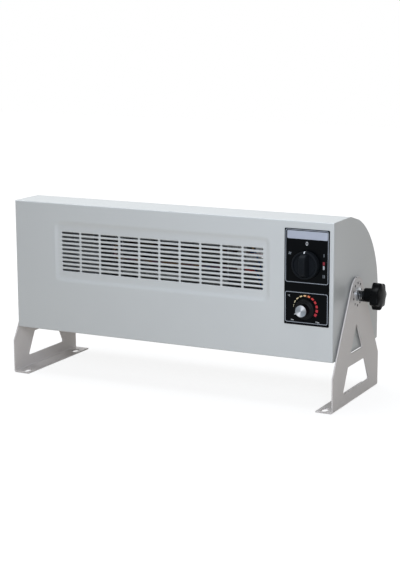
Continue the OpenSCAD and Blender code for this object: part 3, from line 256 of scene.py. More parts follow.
def spangled(name, tones, spangle, roughness):
    """Zinc crystals spangle mm across, each with its own tone and gloss, under a dull bloom that is
    bloom_size times as wide."""
    material, tree, shader, place = start_material(name, Metallic=1.0)
    crystal = add_node(tree, "TexVoronoi", {"Vector": place, "Scale": 1 / spangle})
    level = add_node(tree, "SeparateColor", {0: crystal.outputs["Color"]})
    bloom = add_node(tree, "TexNoise", {"Vector": place, "Scale": 1 / (bloom_size * spangle),
                                        "Detail": 4.0})
    share = add_node(tree, "Math", {0: level.outputs["Red"], 1: bloom}, operation="MULTIPLY")
    colour = add_node(tree, "Mix", {0: share, 6: linear(tones[0]), 7: linear(tones[1])},
                      data_type="RGBA")
    gloss = add_node(tree, "MapRange", {0: level.outputs["Green"],
                                        3: roughness - crystal_gloss_spread,
                                        4: roughness + crystal_gloss_spread})
    set_inputs(tree, shader, {"Base Color": colour.outputs[2], "Roughness": gloss})
    return material


# %% Stacked and wound layers
joint_top = -0.4
joint_depth = 0.1
dirt_size = 20 / 3


def layered(name, tones, along, pitch, roughness, **fixed):
    """Layers pitch mm thick, stacked along one axis. A sine has one period for each layer, and where
    it is under joint_top there is a dark line and a groove. Dirt lies on them in broad patches."""
    material, tree, shader, place = start_material(name, **fixed)
    axis = add_node(tree, "SeparateXYZ", {0: place})
    turn = add_node(tree, "Math", {0: axis.outputs[along], 1: 2 * math.pi / pitch},
                    operation="MULTIPLY")
    wave = add_node(tree, "Math", {0: turn}, operation="SINE")
    height = add_node(tree, "MapRange", {0: wave, 1: -1.0, 2: joint_top})
    dirt = add_node(tree, "TexNoise", {"Vector": place, "Scale": 1 / dirt_size, "Detail": 4.0})
    share = add_node(tree, "Math", {0: height, 1: dirt}, operation="MULTIPLY")
    dress(tree, shader, tones, share, height, joint_depth, roughness)
    return material


# %% [markdown]
# ## Turned aluminium
# The cap of the thermostat dial is faced on a lathe. The tool leaves rings round the axis, too fine
# to see one by one, which pull the highlight into two bright fans. An anisotropic shader whose
# tangent runs round the axis bends the highlights that way. The room here is plain white and would
# leave the cap evenly bright, so the two fans are also painted into the colour as a painted
# highlight, by the angle round the axis, with rings drawn as coarse as they need to show.

# %% Turned face
# Sharpness of the two fans of painted highlight in the cap's colour.
painted_fan_power = 6.0
ring_share = 0.12
ring_depth = 0.012


def turned_metal(name, tones, centre, ring, roughness, painted_fan_angle):
    """Rings ring mm apart round a line along Y through centre, with the tangent along the rings.
    The light tone's share is a painted highlight: the cosine of the angle from painted_fan_angle, to
    the power painted_fan_power, so it is strongest along that direction and opposite it. The rings add
    a little to it."""
    material, tree, shader, place = start_material(name, Metallic=1.0, Anisotropic=0.85)
    away = add_node(tree, "VectorMath", {0: place, 1: tuple(centre)}, operation="SUBTRACT")
    flat = add_node(tree, "VectorMath", {0: away, 1: (1, 0, 1)}, operation="MULTIPLY")
    radius = add_node(tree, "VectorMath", {0: flat}, operation="LENGTH")
    turn = add_node(tree, "Math", {0: radius.outputs["Value"], 1: 2 * math.pi / ring},
                    operation="MULTIPLY")
    wave = add_node(tree, "Math", {0: turn}, operation="SINE")
    share = add_node(tree, "MapRange", {0: wave, 1: -1.0, 2: 1.0})
    parts = add_node(tree, "SeparateXYZ", {0: away})
    angle = add_node(tree, "Math", {0: parts.outputs["Z"], 1: parts.outputs["X"]},
                     operation="ARCTAN2")
    from_fan = add_node(tree, "Math", {0: angle, 1: math.radians(painted_fan_angle)}, operation="SUBTRACT")
    along = add_node(tree, "Math", {0: from_fan}, operation="COSINE")
    # Painted highlight: two bright fans laid into the colour by the angle round the axis.
    fan = add_node(tree, "Math", {0: along, 1: painted_fan_power}, operation="POWER")
    light = add_node(tree, "Math", {0: share, 1: ring_share, 2: fan}, operation="MULTIPLY_ADD")
    around = add_node(tree, "VectorMath", {0: flat, 1: (0, 1, 0)}, operation="CROSS_PRODUCT")
    tangent = add_node(tree, "VectorTransform", {0: around}, vector_type="VECTOR",
                       convert_from="OBJECT", convert_to="WORLD")
    set_inputs(tree, shader, {"Tangent": tangent})
    dress(tree, shader, tones, light, share, ring_depth, roughness)
    return material


# %% [markdown]
# ## Heat-tinted sheath
# A heating tube is a stainless sheath that glows in use. It comes out of the first firing with a
# straw, brown and blue oxide film that varies along its length, and with a dull skin.

# %% Heat-tinted tube
def set_stops(ramp, stops):
    """Gives a colour ramp its stops, each a place from 0 to 1 and a colour."""
    elements = ramp.color_ramp.elements
    for element, (place, tint) in zip(elements, (stops[0], stops[-1])):
        element.position = place
        element.color = linear(tint)
    for place, tint in stops[1:-1]:
        elements.new(place).color = linear(tint)


def heat_tinted(name, cycle, roughness):
    """Oxide colours follow a noise that changes over cycle mm along the tube."""
    material, tree, shader, place = start_material(name, Metallic=1.0)
    noise = add_node(tree, "TexNoise", {"Vector": place, "Scale": 1 / cycle, "Detail": 2.0})
    oxide = add_node(tree, "ValToRGB", {0: noise})
    set_stops(oxide, [(0.3, "#5B5A5E"), (0.45, "#6E5B43"), (0.58, "#5A4350"), (0.72, "#4A5468")])
    set_inputs(tree, shader, {"Base Color": oxide, "Roughness": roughness})
    return material


# %% [markdown]
# ## Finishes seen from outside
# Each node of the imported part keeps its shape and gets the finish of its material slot. The light
# grey of the casing is a polyester powder coat, oven-cured over steel: satin, with a faint orange
# peel about a millimetre across, which shows as a soft break-up of the highlight. The knobs and the
# gland are moulded nylon and ABS, nearly black: they take a fine grain from the mould, and only
# their rounded edges shine. The control plate is a printed polyester film, smooth and deep black.
# What is black in the photograph has an index under the plastic's own 1.5, since full reflections
# of the plain white room would turn it grey.

# %% Finishes of the casing, the knobs and the plate
finishes = {
    "casing_paint": grained("powder_coated_steel_casing", ("#CBCDCC", "#D0D2D0"), 90, 1.1, 0.006,
                            0.36, bevel=0.8, IOR=1.5),
    # The legs have the casing's paint; their lighter, warmer tone is painted light.
    "leg_paint": grained("powder_coated_steel_legs_painted_light", ("#D2CCC8", "#D7D1CD"), 60, 1.1, 0.006, 0.34,
                         bevel=0.5, IOR=1.5),
    "knob_plastic": grained("moulded_nylon_star_knob", ("#0B0C0D", "#0F1011"), 20, 0.5, 0.01, 0.24,
                            bevel=0.4, IOR=1.11),
    "selector_plastic": grained("moulded_abs_selector", ("#15181B", "#1A1D21"), 15, 0.35, 0.006, 0.4,
                                bevel=0.5, IOR=1.12),
    "dial_plastic": grained("moulded_abs_dial", ("#0B0C0E", "#0F1012"), 15, 0.35, 0.006, 0.3,
                            bevel=0.3, IOR=1.19),
    "plate_print": grained("printed_polyester_film", ("#050709", "#080A0C"), 40, 0.4, 0.002, 0.3,
                           IOR=1.12),
    "gland_plastic": grained("moulded_nylon_gland", ("#161617", "#1D1D1E"), 14, 0.4, 0.015, 0.45,
                             bevel=0.3),
}
print("finishes seen from outside:", len(finishes))


# %% [markdown]
# ## Finishes of the hidden parts
# The mouldings inside are filled nylon and phenolic, a little uneven in colour and mostly duller
# than the knobs. Vulcanised fibre is dry and matt, the rubber ring too. Steatite is fired white
# ceramic with a faint sheen, and the leads have a smooth silicone skin, each in one clear colour.

# %% Finishes of mouldings, ceramic and leads
finishes.update({
    "fibre_disc": grained("vulcanised_fibre", ("#262423", "#312E2C"), 4, 0.6, 0.03, 0.75, IOR=1.3),
    "switch_plastic": grained("glass_filled_nylon_switch", ("#B9B5A8", "#C4C0B2"), 12, 0.4, 0.02,
                              0.55, bevel=0.3),
    "cooler_plastic": grained("natural_nylon_fan", ("#D9D4C4", "#E2DDCD"), 12, 0.5, 0.01, 0.42,
                              bevel=0.3),
    "cutout_plastic": grained("phenolic_cutout", ("#231C19", "#2B2320"), 6, 0.3, 0.01, 0.35,
                              bevel=0.2),
    "ring_rubber": grained("moulded_epdm_ring", ("#1B1B1B", "#242424"), 8, 0.4, 0.03, 0.7),
    "ceramic": grained("fired_steatite", ("#DDD8CB", "#E8E4D8"), 5, 0.25, 0.02, 0.5, bevel=0.2),
    "red_insulation": grained("silicone_insulation_red", ("#9E1A16", "#B4231C"), 20, 0.4, 0.02, 0.42),
    "blue_insulation": grained("silicone_insulation_blue", ("#1C4C8C", "#245AA0"), 20, 0.4, 0.02,
                               0.42),
})
print("with the hidden parts:", len(finishes))


# %% [markdown]
# ## Metal finishes
# The springs are oil-tempered wire and the thrust washers blackened steel, both dark with a thin
# line of shine. Zinc plate is light and streaked, brass and copper show their own colour through
# thin oxide, and sintered bronze and die-cast zinc are grainy from the mould. The fan's frame and
# wheel are galvanised sheet. The motor's core is stacked sheets, and its coil is wound with tape.

# %% Finishes of metals and the motor
finishes.update({
    "bearing_bronze": grained("sintered_bronze", ("#8A6A3E", "#A88452"), 2, 0.25, 0.03, 0.45,
                              Metallic=1.0),
    "strap_metal": grained("die_cast_zinc", ("#8C8F92", "#A1A4A6"), 10, 0.5, 0.03, 0.42,
                           bevel=0.3, Metallic=1.0),
    "spring_steel": drawn_metal("oil_tempered_spring_wire", ("#18191B", "#303235"), 0, 0.3, 0.34),
    "washer_steel": drawn_metal("blackened_steel_washer", ("#1A1B1D", "#242527"), 1, 0.4, 0.4),
    "plated_steel": drawn_metal("zinc_plated_steel", ("#A6A9AC", "#BEC1C3"), 0, 0.5, 0.36),
    "tab_brass": drawn_metal("tinned_brass", ("#B99A57", "#D0B36E"), 1, 0.4, 0.3),
    "bulb_copper": drawn_metal("drawn_copper", ("#B06A45", "#C98660"), 0, 0.4, 0.32),
    "galvanised": spangled("hot_dip_galvanised_sheet", ("#8E9294", "#C9CCCD"), 5, 0.38),
    "wheel_metal": spangled("galvanised_wheel_sheet", ("#7F8386", "#B4B8BA"), 3, 0.42),
    "core_steel": layered("stacked_laminations", ("#2A2A2C", "#6D6E70"), 0, 0.6, 0.45,
                          Metallic=1.0),
    "coil_tape": layered("polyester_coil_tape", ("#7A5A1E", "#B58A34"), 1, 2.0, 0.4),
    "tube_steel": heat_tinted("heat_tinted_stainless_sheath", 22, 0.38),
    # The cap's colour carries a painted highlight in two fans, at 58 degrees and opposite.
    "dial_cap_metal": turned_metal("turned_aluminium_cap", ("#73797F", "#D0D4DA"), dial_centre, 0.9,
                                   0.3, 58),
})
print("finishes made:", len(finishes))

# %% Each node gets its finish
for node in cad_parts.values():
    node.material_slots[0].material = finishes[node.data.materials[0].name]
print("nodes with a finish:", len(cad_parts))


# %% [markdown]
# ## Painted shade in the index holes
# The legs' index holes are punched through the sheet, and each looks dark even from the side, where
# shade falls into it. The leg's colour is darkened there as painted shade by a pattern: a point is
# in a hole where its distance to the nearest of ten evenly spaced middles is small.

# %% Painted shade in the index holes
hole_ring_radius = 16.4
first_hole_angle = 16
index_holes = 10
index_hole_radius = 1.75
hole_shade_margin = 0.1
# A dark tone painted into each index hole as its shade.
painted_hole_shade_tone = "#2E2D2B"


def painted_hole_shade(material, centre):
    """The place along the ring is its radius times the angle to the nearest hole, and the place
    across it is the distance from the axis less the ring's radius. The length of the two is the
    distance from the hole's middle, and the painted shade shows where it is under the hole's radius."""
    tree = material.node_tree
    shader = next(node for node in tree.nodes if node.type == "BSDF_PRINCIPLED")
    paint = shader.inputs["Base Color"].links[0].from_socket
    away = add_node(tree, "VectorMath", {0: point_in_mm(tree), 1: tuple(centre)},
                    operation="SUBTRACT")
    flat = add_node(tree, "VectorMath", {0: away, 1: (0, 1, 1)}, operation="MULTIPLY")
    parts = add_node(tree, "SeparateXYZ", {0: flat})
    angle = add_node(tree, "Math", {0: parts.outputs["Z"], 1: parts.outputs["Y"]},
                     operation="ARCTAN2")
    turned = add_node(tree, "Math", {0: angle, 1: math.radians(first_hole_angle)},
                      operation="SUBTRACT")
    nearest = add_node(tree, "Math", {0: turned, 1: math.pi / index_holes,
                                      2: -math.pi / index_holes}, operation="WRAP")
    along = add_node(tree, "Math", {0: nearest, 1: hole_ring_radius}, operation="MULTIPLY")
    radius = add_node(tree, "VectorMath", {0: flat}, operation="LENGTH")
    across = add_node(tree, "Math", {0: radius.outputs["Value"], 1: hole_ring_radius},
                      operation="SUBTRACT")
    offset = add_node(tree, "CombineXYZ", {0: along, 1: across})
    distance = add_node(tree, "VectorMath", {0: offset}, operation="LENGTH")
    inside = add_node(tree, "Math", {0: distance.outputs["Value"],
                                     1: index_hole_radius + hole_shade_margin}, operation="LESS_THAN")
    # Painted shade: the dark tone takes the place of the paint inside each hole.
    colour = add_node(tree, "Mix", {0: inside, 6: paint, 7: linear(painted_hole_shade_tone)},
                      data_type="RGBA")
    set_inputs(tree, shader, {"Base Color": colour.outputs[2]})


painted_hole_shade(finishes["leg_paint"], pivot_centre)
print("dark walls in", index_holes, "holes of each leg")


# %% [markdown]
# ## Helpers for meshes
# Each new piece is a grid of points worked out with numpy: rings or rows of points, with a face
# between every four neighbours. Points that meet, as at a seam or a pole, are merged, the faces are
# turned outwards, and edges sharper than a set angle stay crisp.

# %% Circles and grids of points
def full_turn(sides):
    """Angles at even steps round a full turn, without the last, which is the first again."""
    return np.linspace(0, 2 * math.pi, sides, endpoint=False)


def on_circle(angle, radius=1.0):
    """The cosine and the sine of each angle, times the radius."""
    return np.stack([radius * np.cos(angle), radius * np.sin(angle)], -1)


def grid_shape(rings, close_rows=False):
    """Rings of points, one in each row of a grid, as a list of points and the four corners of each
    cell. Every ring is closed, and close_rows joins the last ring to the first."""
    rows, columns = rings.shape[:2]
    row = np.arange(rows if close_rows else rows - 1)[:, None]
    column = np.arange(columns)[None, :]
    below = (row + 1) % rows * columns
    beside = (column + 1) % columns
    corners = (row * columns + column, row * columns + beside, below + beside, below + column)
    return rings.reshape(-1, 3), np.stack(corners, -1).reshape(-1, 4)


def capped(rings):
    """A grid of rings closed at both ends: each end has one more ring, shrunk to its middle."""
    middles = np.repeat(rings[[0, -1]].mean(axis=1, keepdims=True), rings.shape[1], axis=1)
    return grid_shape(np.vstack([middles[:1], rings, middles[1:]]))


def together(shapes):
    """Several shapes of points and faces as one."""
    counts = np.cumsum([0] + [len(points) for points, faces in shapes])
    return (np.vstack([points for points, faces in shapes]),
            np.vstack([faces + count for (points, faces), count in zip(shapes, counts)]))


# %% Closed meshes
merge_distance = 0.004


def write_closed(work, mesh, merge=merge_distance):
    """Merges points nearer than merge mm, turns the faces outwards and writes the shape to a mesh."""
    bmesh.ops.remove_doubles(work, verts=work.verts, dist=merge * MM)
    bmesh.ops.recalc_face_normals(work, faces=work.faces)
    work.to_mesh(mesh)
    work.free()


def closed_mesh(name, shape):
    """A mesh from a shape whose points are in millimetres."""
    points, faces = shape
    mesh = bpy.data.meshes.new(name)
    mesh.from_pydata((points * MM).tolist(), [], faces.tolist())
    work = bmesh.new()
    work.from_mesh(mesh)
    write_closed(work, mesh)
    return mesh


# %% New pieces
sharp_angle = 35


def new_piece(name, shape, finish, body, nodes=(), sharp=sharp_angle):
    """A smooth piece from a shape, with edges over the sharp angle kept crisp, carried by a body."""
    mesh = closed_mesh(name, shape)
    mesh.shade_smooth()
    mesh.set_sharp_from_angle(angle=math.radians(sharp))
    mesh.materials.append(finish)
    piece = in_scene(name, mesh)
    if body:
        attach(piece, body)
    if nodes:
        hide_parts(*nodes)
    print("made", name, "with", len(mesh.vertices), "points")
    return piece


# %% [markdown]
# ## Front panel
# The real panel is punched, drawn and folded from 1 mm sheet: ten by ten slots in a field that is
# pressed 2.5 mm inwards with a soft slope round it, and a rim folded 3 mm back along all four edges,
# with a rounded bend. The press leaves no crease, so the slope is what catches the light. One closed
# skin is worked out: a tile of rings round each slot, then rings that grow from the field to the
# folded rim and come back along the inner side one sheet deeper.

# %% Rectangles with round corners
def rounded_to(points, half, radius):
    """Moves points on a rectangle's border to a rounded one: each goes to the nearest point of the
    rectangle drawn in by the radius, and from there outwards by the radius."""
    core = np.asarray(half) - radius
    near = np.clip(points, -core, core)
    away = points - near
    length = np.linalg.norm(away, axis=-1, keepdims=True)
    return near + away / np.maximum(length, 1e-9) * radius


# %% Slots and the tile round each one
sheet = 1.0
slot_size = np.array((31.1, 3.2))
slot_pitch = np.array((34.1, 6.4))
slot_count = np.array((10, 10))
field_centre = np.array((-13.4, panel_low[2] + 126))
press_depth = 2.5
slot_edge = 0.25

slot_radius = slot_size[1] / 2
slot_straight = slot_size[0] / 2 - slot_radius
straight_x = np.linspace(-slot_straight, slot_straight, 5)
end_angles = np.radians(np.linspace(67.5, -67.5, 7))
corner_x, corner_z = slot_pitch / 2
beside_x = slot_size[0] / 2
end_border = np.array([(beside_x, corner_z), (corner_x, corner_z), (corner_x, corner_z / 2),
                       (corner_x, 0), (corner_x, -corner_z / 2), (corner_x, -corner_z),
                       (beside_x, -corner_z)])
half_border = np.vstack([np.stack([straight_x, np.full(straight_x.size, corner_z)], -1), end_border])
tile_border = np.vstack([half_border, -half_border])


def slot_outline(out):
    """The slot's outline moved outwards: two straight sides and two half circles."""
    radius = slot_radius + out
    side = np.stack([straight_x, np.full(straight_x.size, radius)], -1)
    half = np.vstack([side, on_circle(end_angles, radius) + (slot_straight, 0)])
    return np.vstack([half, -half])


def at_depth(flat, depth):
    """Points in width and height, set depth behind the front face."""
    return np.insert(flat, 1, panel_low[1] + depth, axis=-1)


# %% Tiles
edge_turn = np.radians((0, 45, 90))
tile_rings = [at_depth(tile_border, press_depth)]
tile_rings += [at_depth(slot_outline(slot_edge * (1 - math.sin(turn))),
                        press_depth + slot_edge * (1 - math.cos(turn))) for turn in edge_turn]
tile_rings += [at_depth(slot_outline(0), press_depth + sheet),
               at_depth(tile_border, press_depth + sheet)]
steps_x, steps_z = [(np.arange(count) - (count - 1) / 2) * pitch
                    for count, pitch in zip(slot_count, slot_pitch)]
tile_centres = np.stack(np.meshgrid(steps_x, [0.0], steps_z, indexing="ij"), -1).reshape(-1, 3)
tile_centres += (field_centre[0], 0, field_centre[1])
tiles = [grid_shape(centre + np.array(tile_rings)) for centre in tile_centres]
print("slot tiles:", len(tiles))

# %% Sizes of the pressed slope and the folded rim
# The flat bottom of the pressing, from its middle to its sides; the slope rises outside it.
pressed_half = np.array((173.0, 39.4))
slope_width = 9.0
slope_steps = 13
slope_softness = 0.75
press_radius = 8.0
fold_radius = 1.6
fold_steps = 7
rim_depth = 3.0
easing = 0.5
panel_half = np.array((panel_high[0], (panel_high[2] - panel_low[2]) / 2))
panel_centre = np.array((0, (panel_high[2] + panel_low[2]) / 2))

# %% Border of the field
field_half = slot_pitch * slot_count / 2
tile_x = np.unique(np.round(tile_border[:, 0], 6))
tile_z = np.unique(np.round(tile_border[:, 1], 6))
border_x = np.unique(np.round((steps_x[:, None] + tile_x).ravel(), 4))
border_z = np.unique(np.round((steps_z[:, None] + tile_z).ravel(), 4))
field_loop = np.vstack([
    np.stack([border_x, np.full(border_x.size, field_half[1])], -1),
    np.stack([np.full(border_z.size - 1, field_half[0]), border_z[::-1][1:]], -1),
    np.stack([border_x[::-1][1:], np.full(border_x.size - 1, -field_half[1])], -1),
    np.stack([np.full(border_z.size - 2, -field_half[0]), border_z[1:-1]], -1)])
unit_loop = field_loop / field_half


def field_ring(half, radius, centre, depth):
    """The field's border, stretched to a rectangle with round corners about a centre."""
    return at_depth(rounded_to(unit_loop * half, half, radius) + centre, depth)


# %% Rings of the skin
def skin_rings(back, outer_fold):
    """Rings of one side of the sheet, back mm behind the front face, from the field to the rim. Over
    the slope, from 0 to 1, the rise is the share of the way less a sine that softens both ends."""
    rings = [field_ring(field_half, 0, field_centre, press_depth + back),
             field_ring(pressed_half - easing, press_radius, field_centre, press_depth + back)]
    for share in np.linspace(0, 1, slope_steps):
        rise = share - slope_softness * math.sin(2 * math.pi * share) / (2 * math.pi)
        rings.append(field_ring(pressed_half + slope_width * share, press_radius, field_centre,
                                press_depth * (1 - rise) + back))
    rings.append(field_ring(pressed_half + slope_width + easing, press_radius, field_centre, back))
    flat_half = panel_half - fold_radius
    rings.append(field_ring(flat_half - easing, 0, panel_centre, back))
    for turn in np.linspace(0, math.pi / 2, fold_steps):
        rings.append(field_ring(flat_half + outer_fold * math.sin(turn), 0, panel_centre,
                                fold_radius - outer_fold * math.cos(turn)))
    rings.append(field_ring(flat_half + outer_fold, 0, panel_centre, rim_depth))
    return rings


# %% Front panel
skin = skin_rings(0, fold_radius) + skin_rings(sheet, fold_radius - sheet)[::-1]
front_panel = new_piece("pressed_front_panel", together([*tiles, grid_shape(np.array(skin))]),
                        finishes["casing_paint"], "housing", ["front_panel"],
                        sharp=50)


# %% [markdown]
# ## Helpers for turned and drawn shapes
# A knob is a profile carried round an axis. Its corners are first eased: each gives way to a short
# curve, as every moulded edge has a small radius, and that radius is what draws a thin line of light.

# %% Eased outlines
def eased(corners, setbacks, steps=4):
    """An outline with each corner replaced by a quadratic curve that leaves one side its setback
    before the corner and joins the next as far after it."""
    corners = np.asarray(corners, float)
    setbacks = np.asarray(setbacks, float)[:, None]
    before = np.vstack([corners[:1], corners[:-1]]) - corners
    after = np.vstack([corners[1:], corners[-1:]]) - corners
    before /= np.maximum(np.linalg.norm(before, axis=1, keepdims=True), 1e-9)
    after /= np.maximum(np.linalg.norm(after, axis=1, keepdims=True), 1e-9)
    share = np.linspace(0, 1, steps + 1)[None, :, None]
    start = (corners + before * setbacks)[:, None]
    end = (corners + after * setbacks)[:, None]
    curve = (1 - share) ** 2 * start + 2 * share * (1 - share) * corners[:, None] + share ** 2 * end
    return curve.reshape(-1, 2)


# %% Profiles carried round an axis
def carried_round(distance, radius, centre, along, across, sides):
    """Rings of points: a ring's place is its distance along one direction, and its radius may differ
    from angle to angle. The angle runs from across towards the cross product of along and across."""
    along, across = np.asarray(along, float), np.asarray(across, float)
    out = on_circle(full_turn(sides)) @ np.array([across, np.cross(along, across)])
    radius = np.asarray(radius, float).reshape(len(distance), -1) * np.ones(sides)
    return grid_shape(np.asarray(centre) + distance[:, None, None] * along + radius[..., None] * out)


# %% Shapes added and taken away
drill_sides = 48
clear = 1.0


def combined(piece, shape, operation):
    """Joins a closed shape to a piece, or takes it away, with an exact Boolean applied to the mesh."""
    tool_mesh = closed_mesh("tool", shape)
    tool = in_scene("tool", tool_mesh)
    boolean = piece.modifiers.new("boolean", "BOOLEAN")
    boolean.object = tool
    boolean.operation = operation
    boolean.solver = "EXACT"
    ready = piece.evaluated_get(bpy.context.evaluated_depsgraph_get())
    old = piece.data
    piece.data = bpy.data.meshes.new_from_object(ready)
    piece.modifiers.remove(boolean)
    bpy.data.meshes.remove(old)
    bpy.data.objects.remove(tool)
    bpy.data.meshes.remove(tool_mesh)
    piece.data.set_sharp_from_angle(angle=math.radians(sharp_angle))


def drilled(piece, mouth, direction, radius, depth):
    """Takes a round hole away from a piece; the drill starts a little outside the hole's mouth."""
    start = np.asarray(mouth) - np.asarray(direction) * clear
    reach = np.array([0, 0, 1, 1]) * (depth + clear)
    drill = carried_round(reach, (0, radius, radius, 0), start, direction, (1, 0, 0), drill_sides)
    combined(piece, drill, "DIFFERENCE")


# %% [markdown]
# ## Holes for the control shafts
# The two shafts pass through 10 mm holes behind the black plate. They are drilled with a Boolean,
# since the rings of the panel's skin don't pass round them.

# %% Shaft holes
shaft_hole_radius = 5.0
for centre in (selector_centre, dial_centre):
    drilled(front_panel, (centre[0], panel_low[1], centre[2]), (0, 1, 0), shaft_hole_radius,
            sheet + clear)
print("front panel with shaft holes:", len(front_panel.data.polygons), "faces")


# %% [markdown]
# ## Star knobs
# A star knob is moulded in glass-filled nylon round a steel stud. Its head has seven lobes with wide
# grooves between them and a low dome on the end, and a round neck that bears on the washer. The
# profile is carried round the tilting axis, and the radius drops into each groove. The grooves fade
# out towards the neck and the middle of the dome, so the head needs no separate cap.

# %% Star knob sizes and grooves
lobes = 7
sides_per_lobe = 24
groove_depth = 3.0
groove_width_power = 0.7
lobe_roundness = 0.1
neck_radius = 10.25
neck_length = 11.6
dome_height = 2.65
dome_share = 0.88
stud_bore = 4.02
stud_depth = 14.0


def groove_share(angle):
    """0 on a lobe and 1 in a groove: the squared sine of half the lobe angle, raised to a power
    under 1 to widen the groove, with its foot softened so that the lobe's tip is round."""
    wave = np.sin(lobes / 2 * angle) ** 2
    foot, top = lobe_roundness ** groove_width_power, (1 + lobe_roundness) ** groove_width_power
    return ((wave + lobe_roundness) ** groove_width_power - foot) / (top - foot)


# %% Star knobs
def star_knob(side, name, body):
    """The knob of one side; side is 1 for the right and -1 for the left. The radius is that of the
    profile less the groove's depth, which fades in smoothly from the neck to the head."""
    low, high = box_mm("star_knob_" + name)
    head_radius = high[1] - pivot_centre[1]
    length = high[0] - low[0]
    dome_radius = np.linspace(0, head_radius * dome_share, 9)
    dome = length - dome_height * (dome_radius / head_radius) ** 2
    corners = [*zip(dome, dome_radius), (length - dome_height, head_radius),
               (neck_length, head_radius), (neck_length, neck_radius), (0, neck_radius),
               (0, stud_bore), (stud_depth, stud_bore), (stud_depth, 0)]
    setbacks = [0] * len(dome) + [2.2, 1.3, 1.0, 0.9, 0.3, 0, 0]
    distance, radius = eased(corners, setbacks).T
    sides = lobes * sides_per_lobe
    part = np.clip((radius - neck_radius) / (head_radius - neck_radius), 0, 1)
    fade = part ** 2 * (3 - 2 * part)
    lobed = radius[:, None] - groove_depth * fade[:, None] * groove_share(full_turn(sides))
    start = (low[0] if side > 0 else high[0], *pivot_centre[1:])
    knob = carried_round(distance, lobed, start, (side, 0, 0), (0, 1, 0), sides)
    new_piece("lobed_knob_" + name, knob, finishes["knob_plastic"], body,
              ["star_knob_" + name])


star_knob(1, "right", "right_knob")
star_knob(-1, "left", "left_knob")


# %% [markdown]
# ## Clamp springs
# A spring of 1.6 mm wire keeps a light grip while the knob is loosened. It is wider than the stud, so
# it hangs on it, a little below the axis. It is a tube carried along a helix whose ends run straight
# for one wire diameter. As the knob comes off, its outer end must travel with the washer, but here
# the spring is carried by no body and stays where it is.

# %% Clamp springs
wire = 1.6
coil_radius = 7.2
coil_turns = 3
steps_per_turn = 40
wire_sides = 14


def clamp_spring(side, name):
    """A helical tube: the path is a circle drawn out along the axis, and each ring stands square to
    it, half a wire out along the outward and the sideways direction."""
    low, high = box_mm("clamp_spring_" + name)
    middle = (low + high) / 2
    first, last = (low[0] + wire / 2, high[0] - wire / 2)[::side]
    turn = np.linspace(0, 2 * math.pi * coil_turns, coil_turns * steps_per_turn + 1)
    path = np.column_stack([np.linspace(first, last, turn.size),
                            middle[1:] + on_circle(turn, coil_radius)])
    ahead = np.array([0, 0, wire])
    path = np.vstack([path[:1] - ahead, path, path[-1:] + ahead])
    turn = np.concatenate([[0], turn, [turn[-1]]])
    outward = np.insert(on_circle(turn), 0, 0, axis=1)
    forward = np.gradient(path, axis=0)
    forward /= np.linalg.norm(forward, axis=1, keepdims=True)
    sideways = np.cross(forward, outward)
    ring = on_circle(full_turn(wire_sides), wire / 2) @ np.stack([outward, sideways], axis=1)
    spring = new_piece("coil_spring_" + name, capped(path[:, None] + ring),
                       finishes["spring_steel"], None, ["clamp_spring_" + name],
                       sharp=60)
    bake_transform(spring)


clamp_spring(1, "right")
clamp_spring(-1, "left")


# %% [markdown]
# ## Selector knob
# The selector is a moulded drum with a raised rim, dished inside it, and a grip bar across the dish.
# The drum is a profile carried round the shaft. The bar is one tapered outline carried from bottom to
# top, and it grows from the dish and back along a curve of the fourth power, so the crest is nearly
# flat and both ends fall away steeply. A Boolean makes them one solid.

# %% Selector knob: drum
selector_low, selector_high = box_mm("selector_knob")
selector_radius = (selector_high[0] - selector_low[0]) / 2
selector_length = selector_high[1] - selector_low[1]
selector_base = (selector_centre[0], selector_high[1], selector_centre[2])
rim_height = 9.4
dish_height = 6.6
rim_edge = 1.6
dish_radius = selector_radius - 2.6
shaft_bore = 3.02
shaft_depth = 7.0

drum_outline = eased([(dish_height, 0), (dish_height, dish_radius - 0.8),
                      (rim_height, dish_radius), (rim_height, selector_radius),
                      (0, selector_radius), (0, 0)], [0, 1.5, 0.35, rim_edge, 0.4, 0], steps=6)
drum = carried_round(*drum_outline.T, selector_base, (0, -1, 0), (1, 0, 0), 144)
selector = new_piece("drum_selector_knob", drum, finishes["selector_plastic"], "selector",
                     ["selector_knob"])

# %% Selector knob: grip bar and bore
bar_foot = 3.0
bar_foot_half = 7.0
bar_crest_half = 4.3
bar_crest_edge = 1.3
bar_reach = dish_radius - 0.6
bar_outline = eased([(0, bar_foot), (bar_foot_half, bar_foot), (bar_crest_half, selector_length),
                     (0, selector_length)], [0, 0, bar_crest_edge, 0], steps=6)
bar_outline = np.vstack([bar_outline, (bar_outline * (-1, 1))[::-1]])
bar_steps = np.sin(np.linspace(-math.pi / 2, math.pi / 2, 41))[:, None]
crest = dish_height + (selector_length - dish_height) * np.sqrt(1 - bar_steps ** 4)
share = (crest - bar_foot) / (selector_length - bar_foot)
bar_grid = np.stack([selector_base[0] + bar_outline[:, 0] * np.ones_like(bar_steps),
                     selector_base[1] - bar_foot - (bar_outline[:, 1] - bar_foot) * share,
                     selector_base[2] + bar_reach * bar_steps * np.ones(len(bar_outline))], -1)
combined(selector, capped(bar_grid), "UNION")
drilled(selector, selector_base, (0, -1, 0), shaft_bore, shaft_depth)
print("selector knob:", len(selector.data.polygons), "faces")


# %% [markdown]
# ## Thermostat dial
# The dial is a stepped skirt under a plain hub, with a metal cap glued into its face. Its mould was
# turned on a lathe, so each step is a true ring and shows as a fine ring of light. The profile goes
# from the middle of the face to the bore: each corner is a height above the plate and a radius.

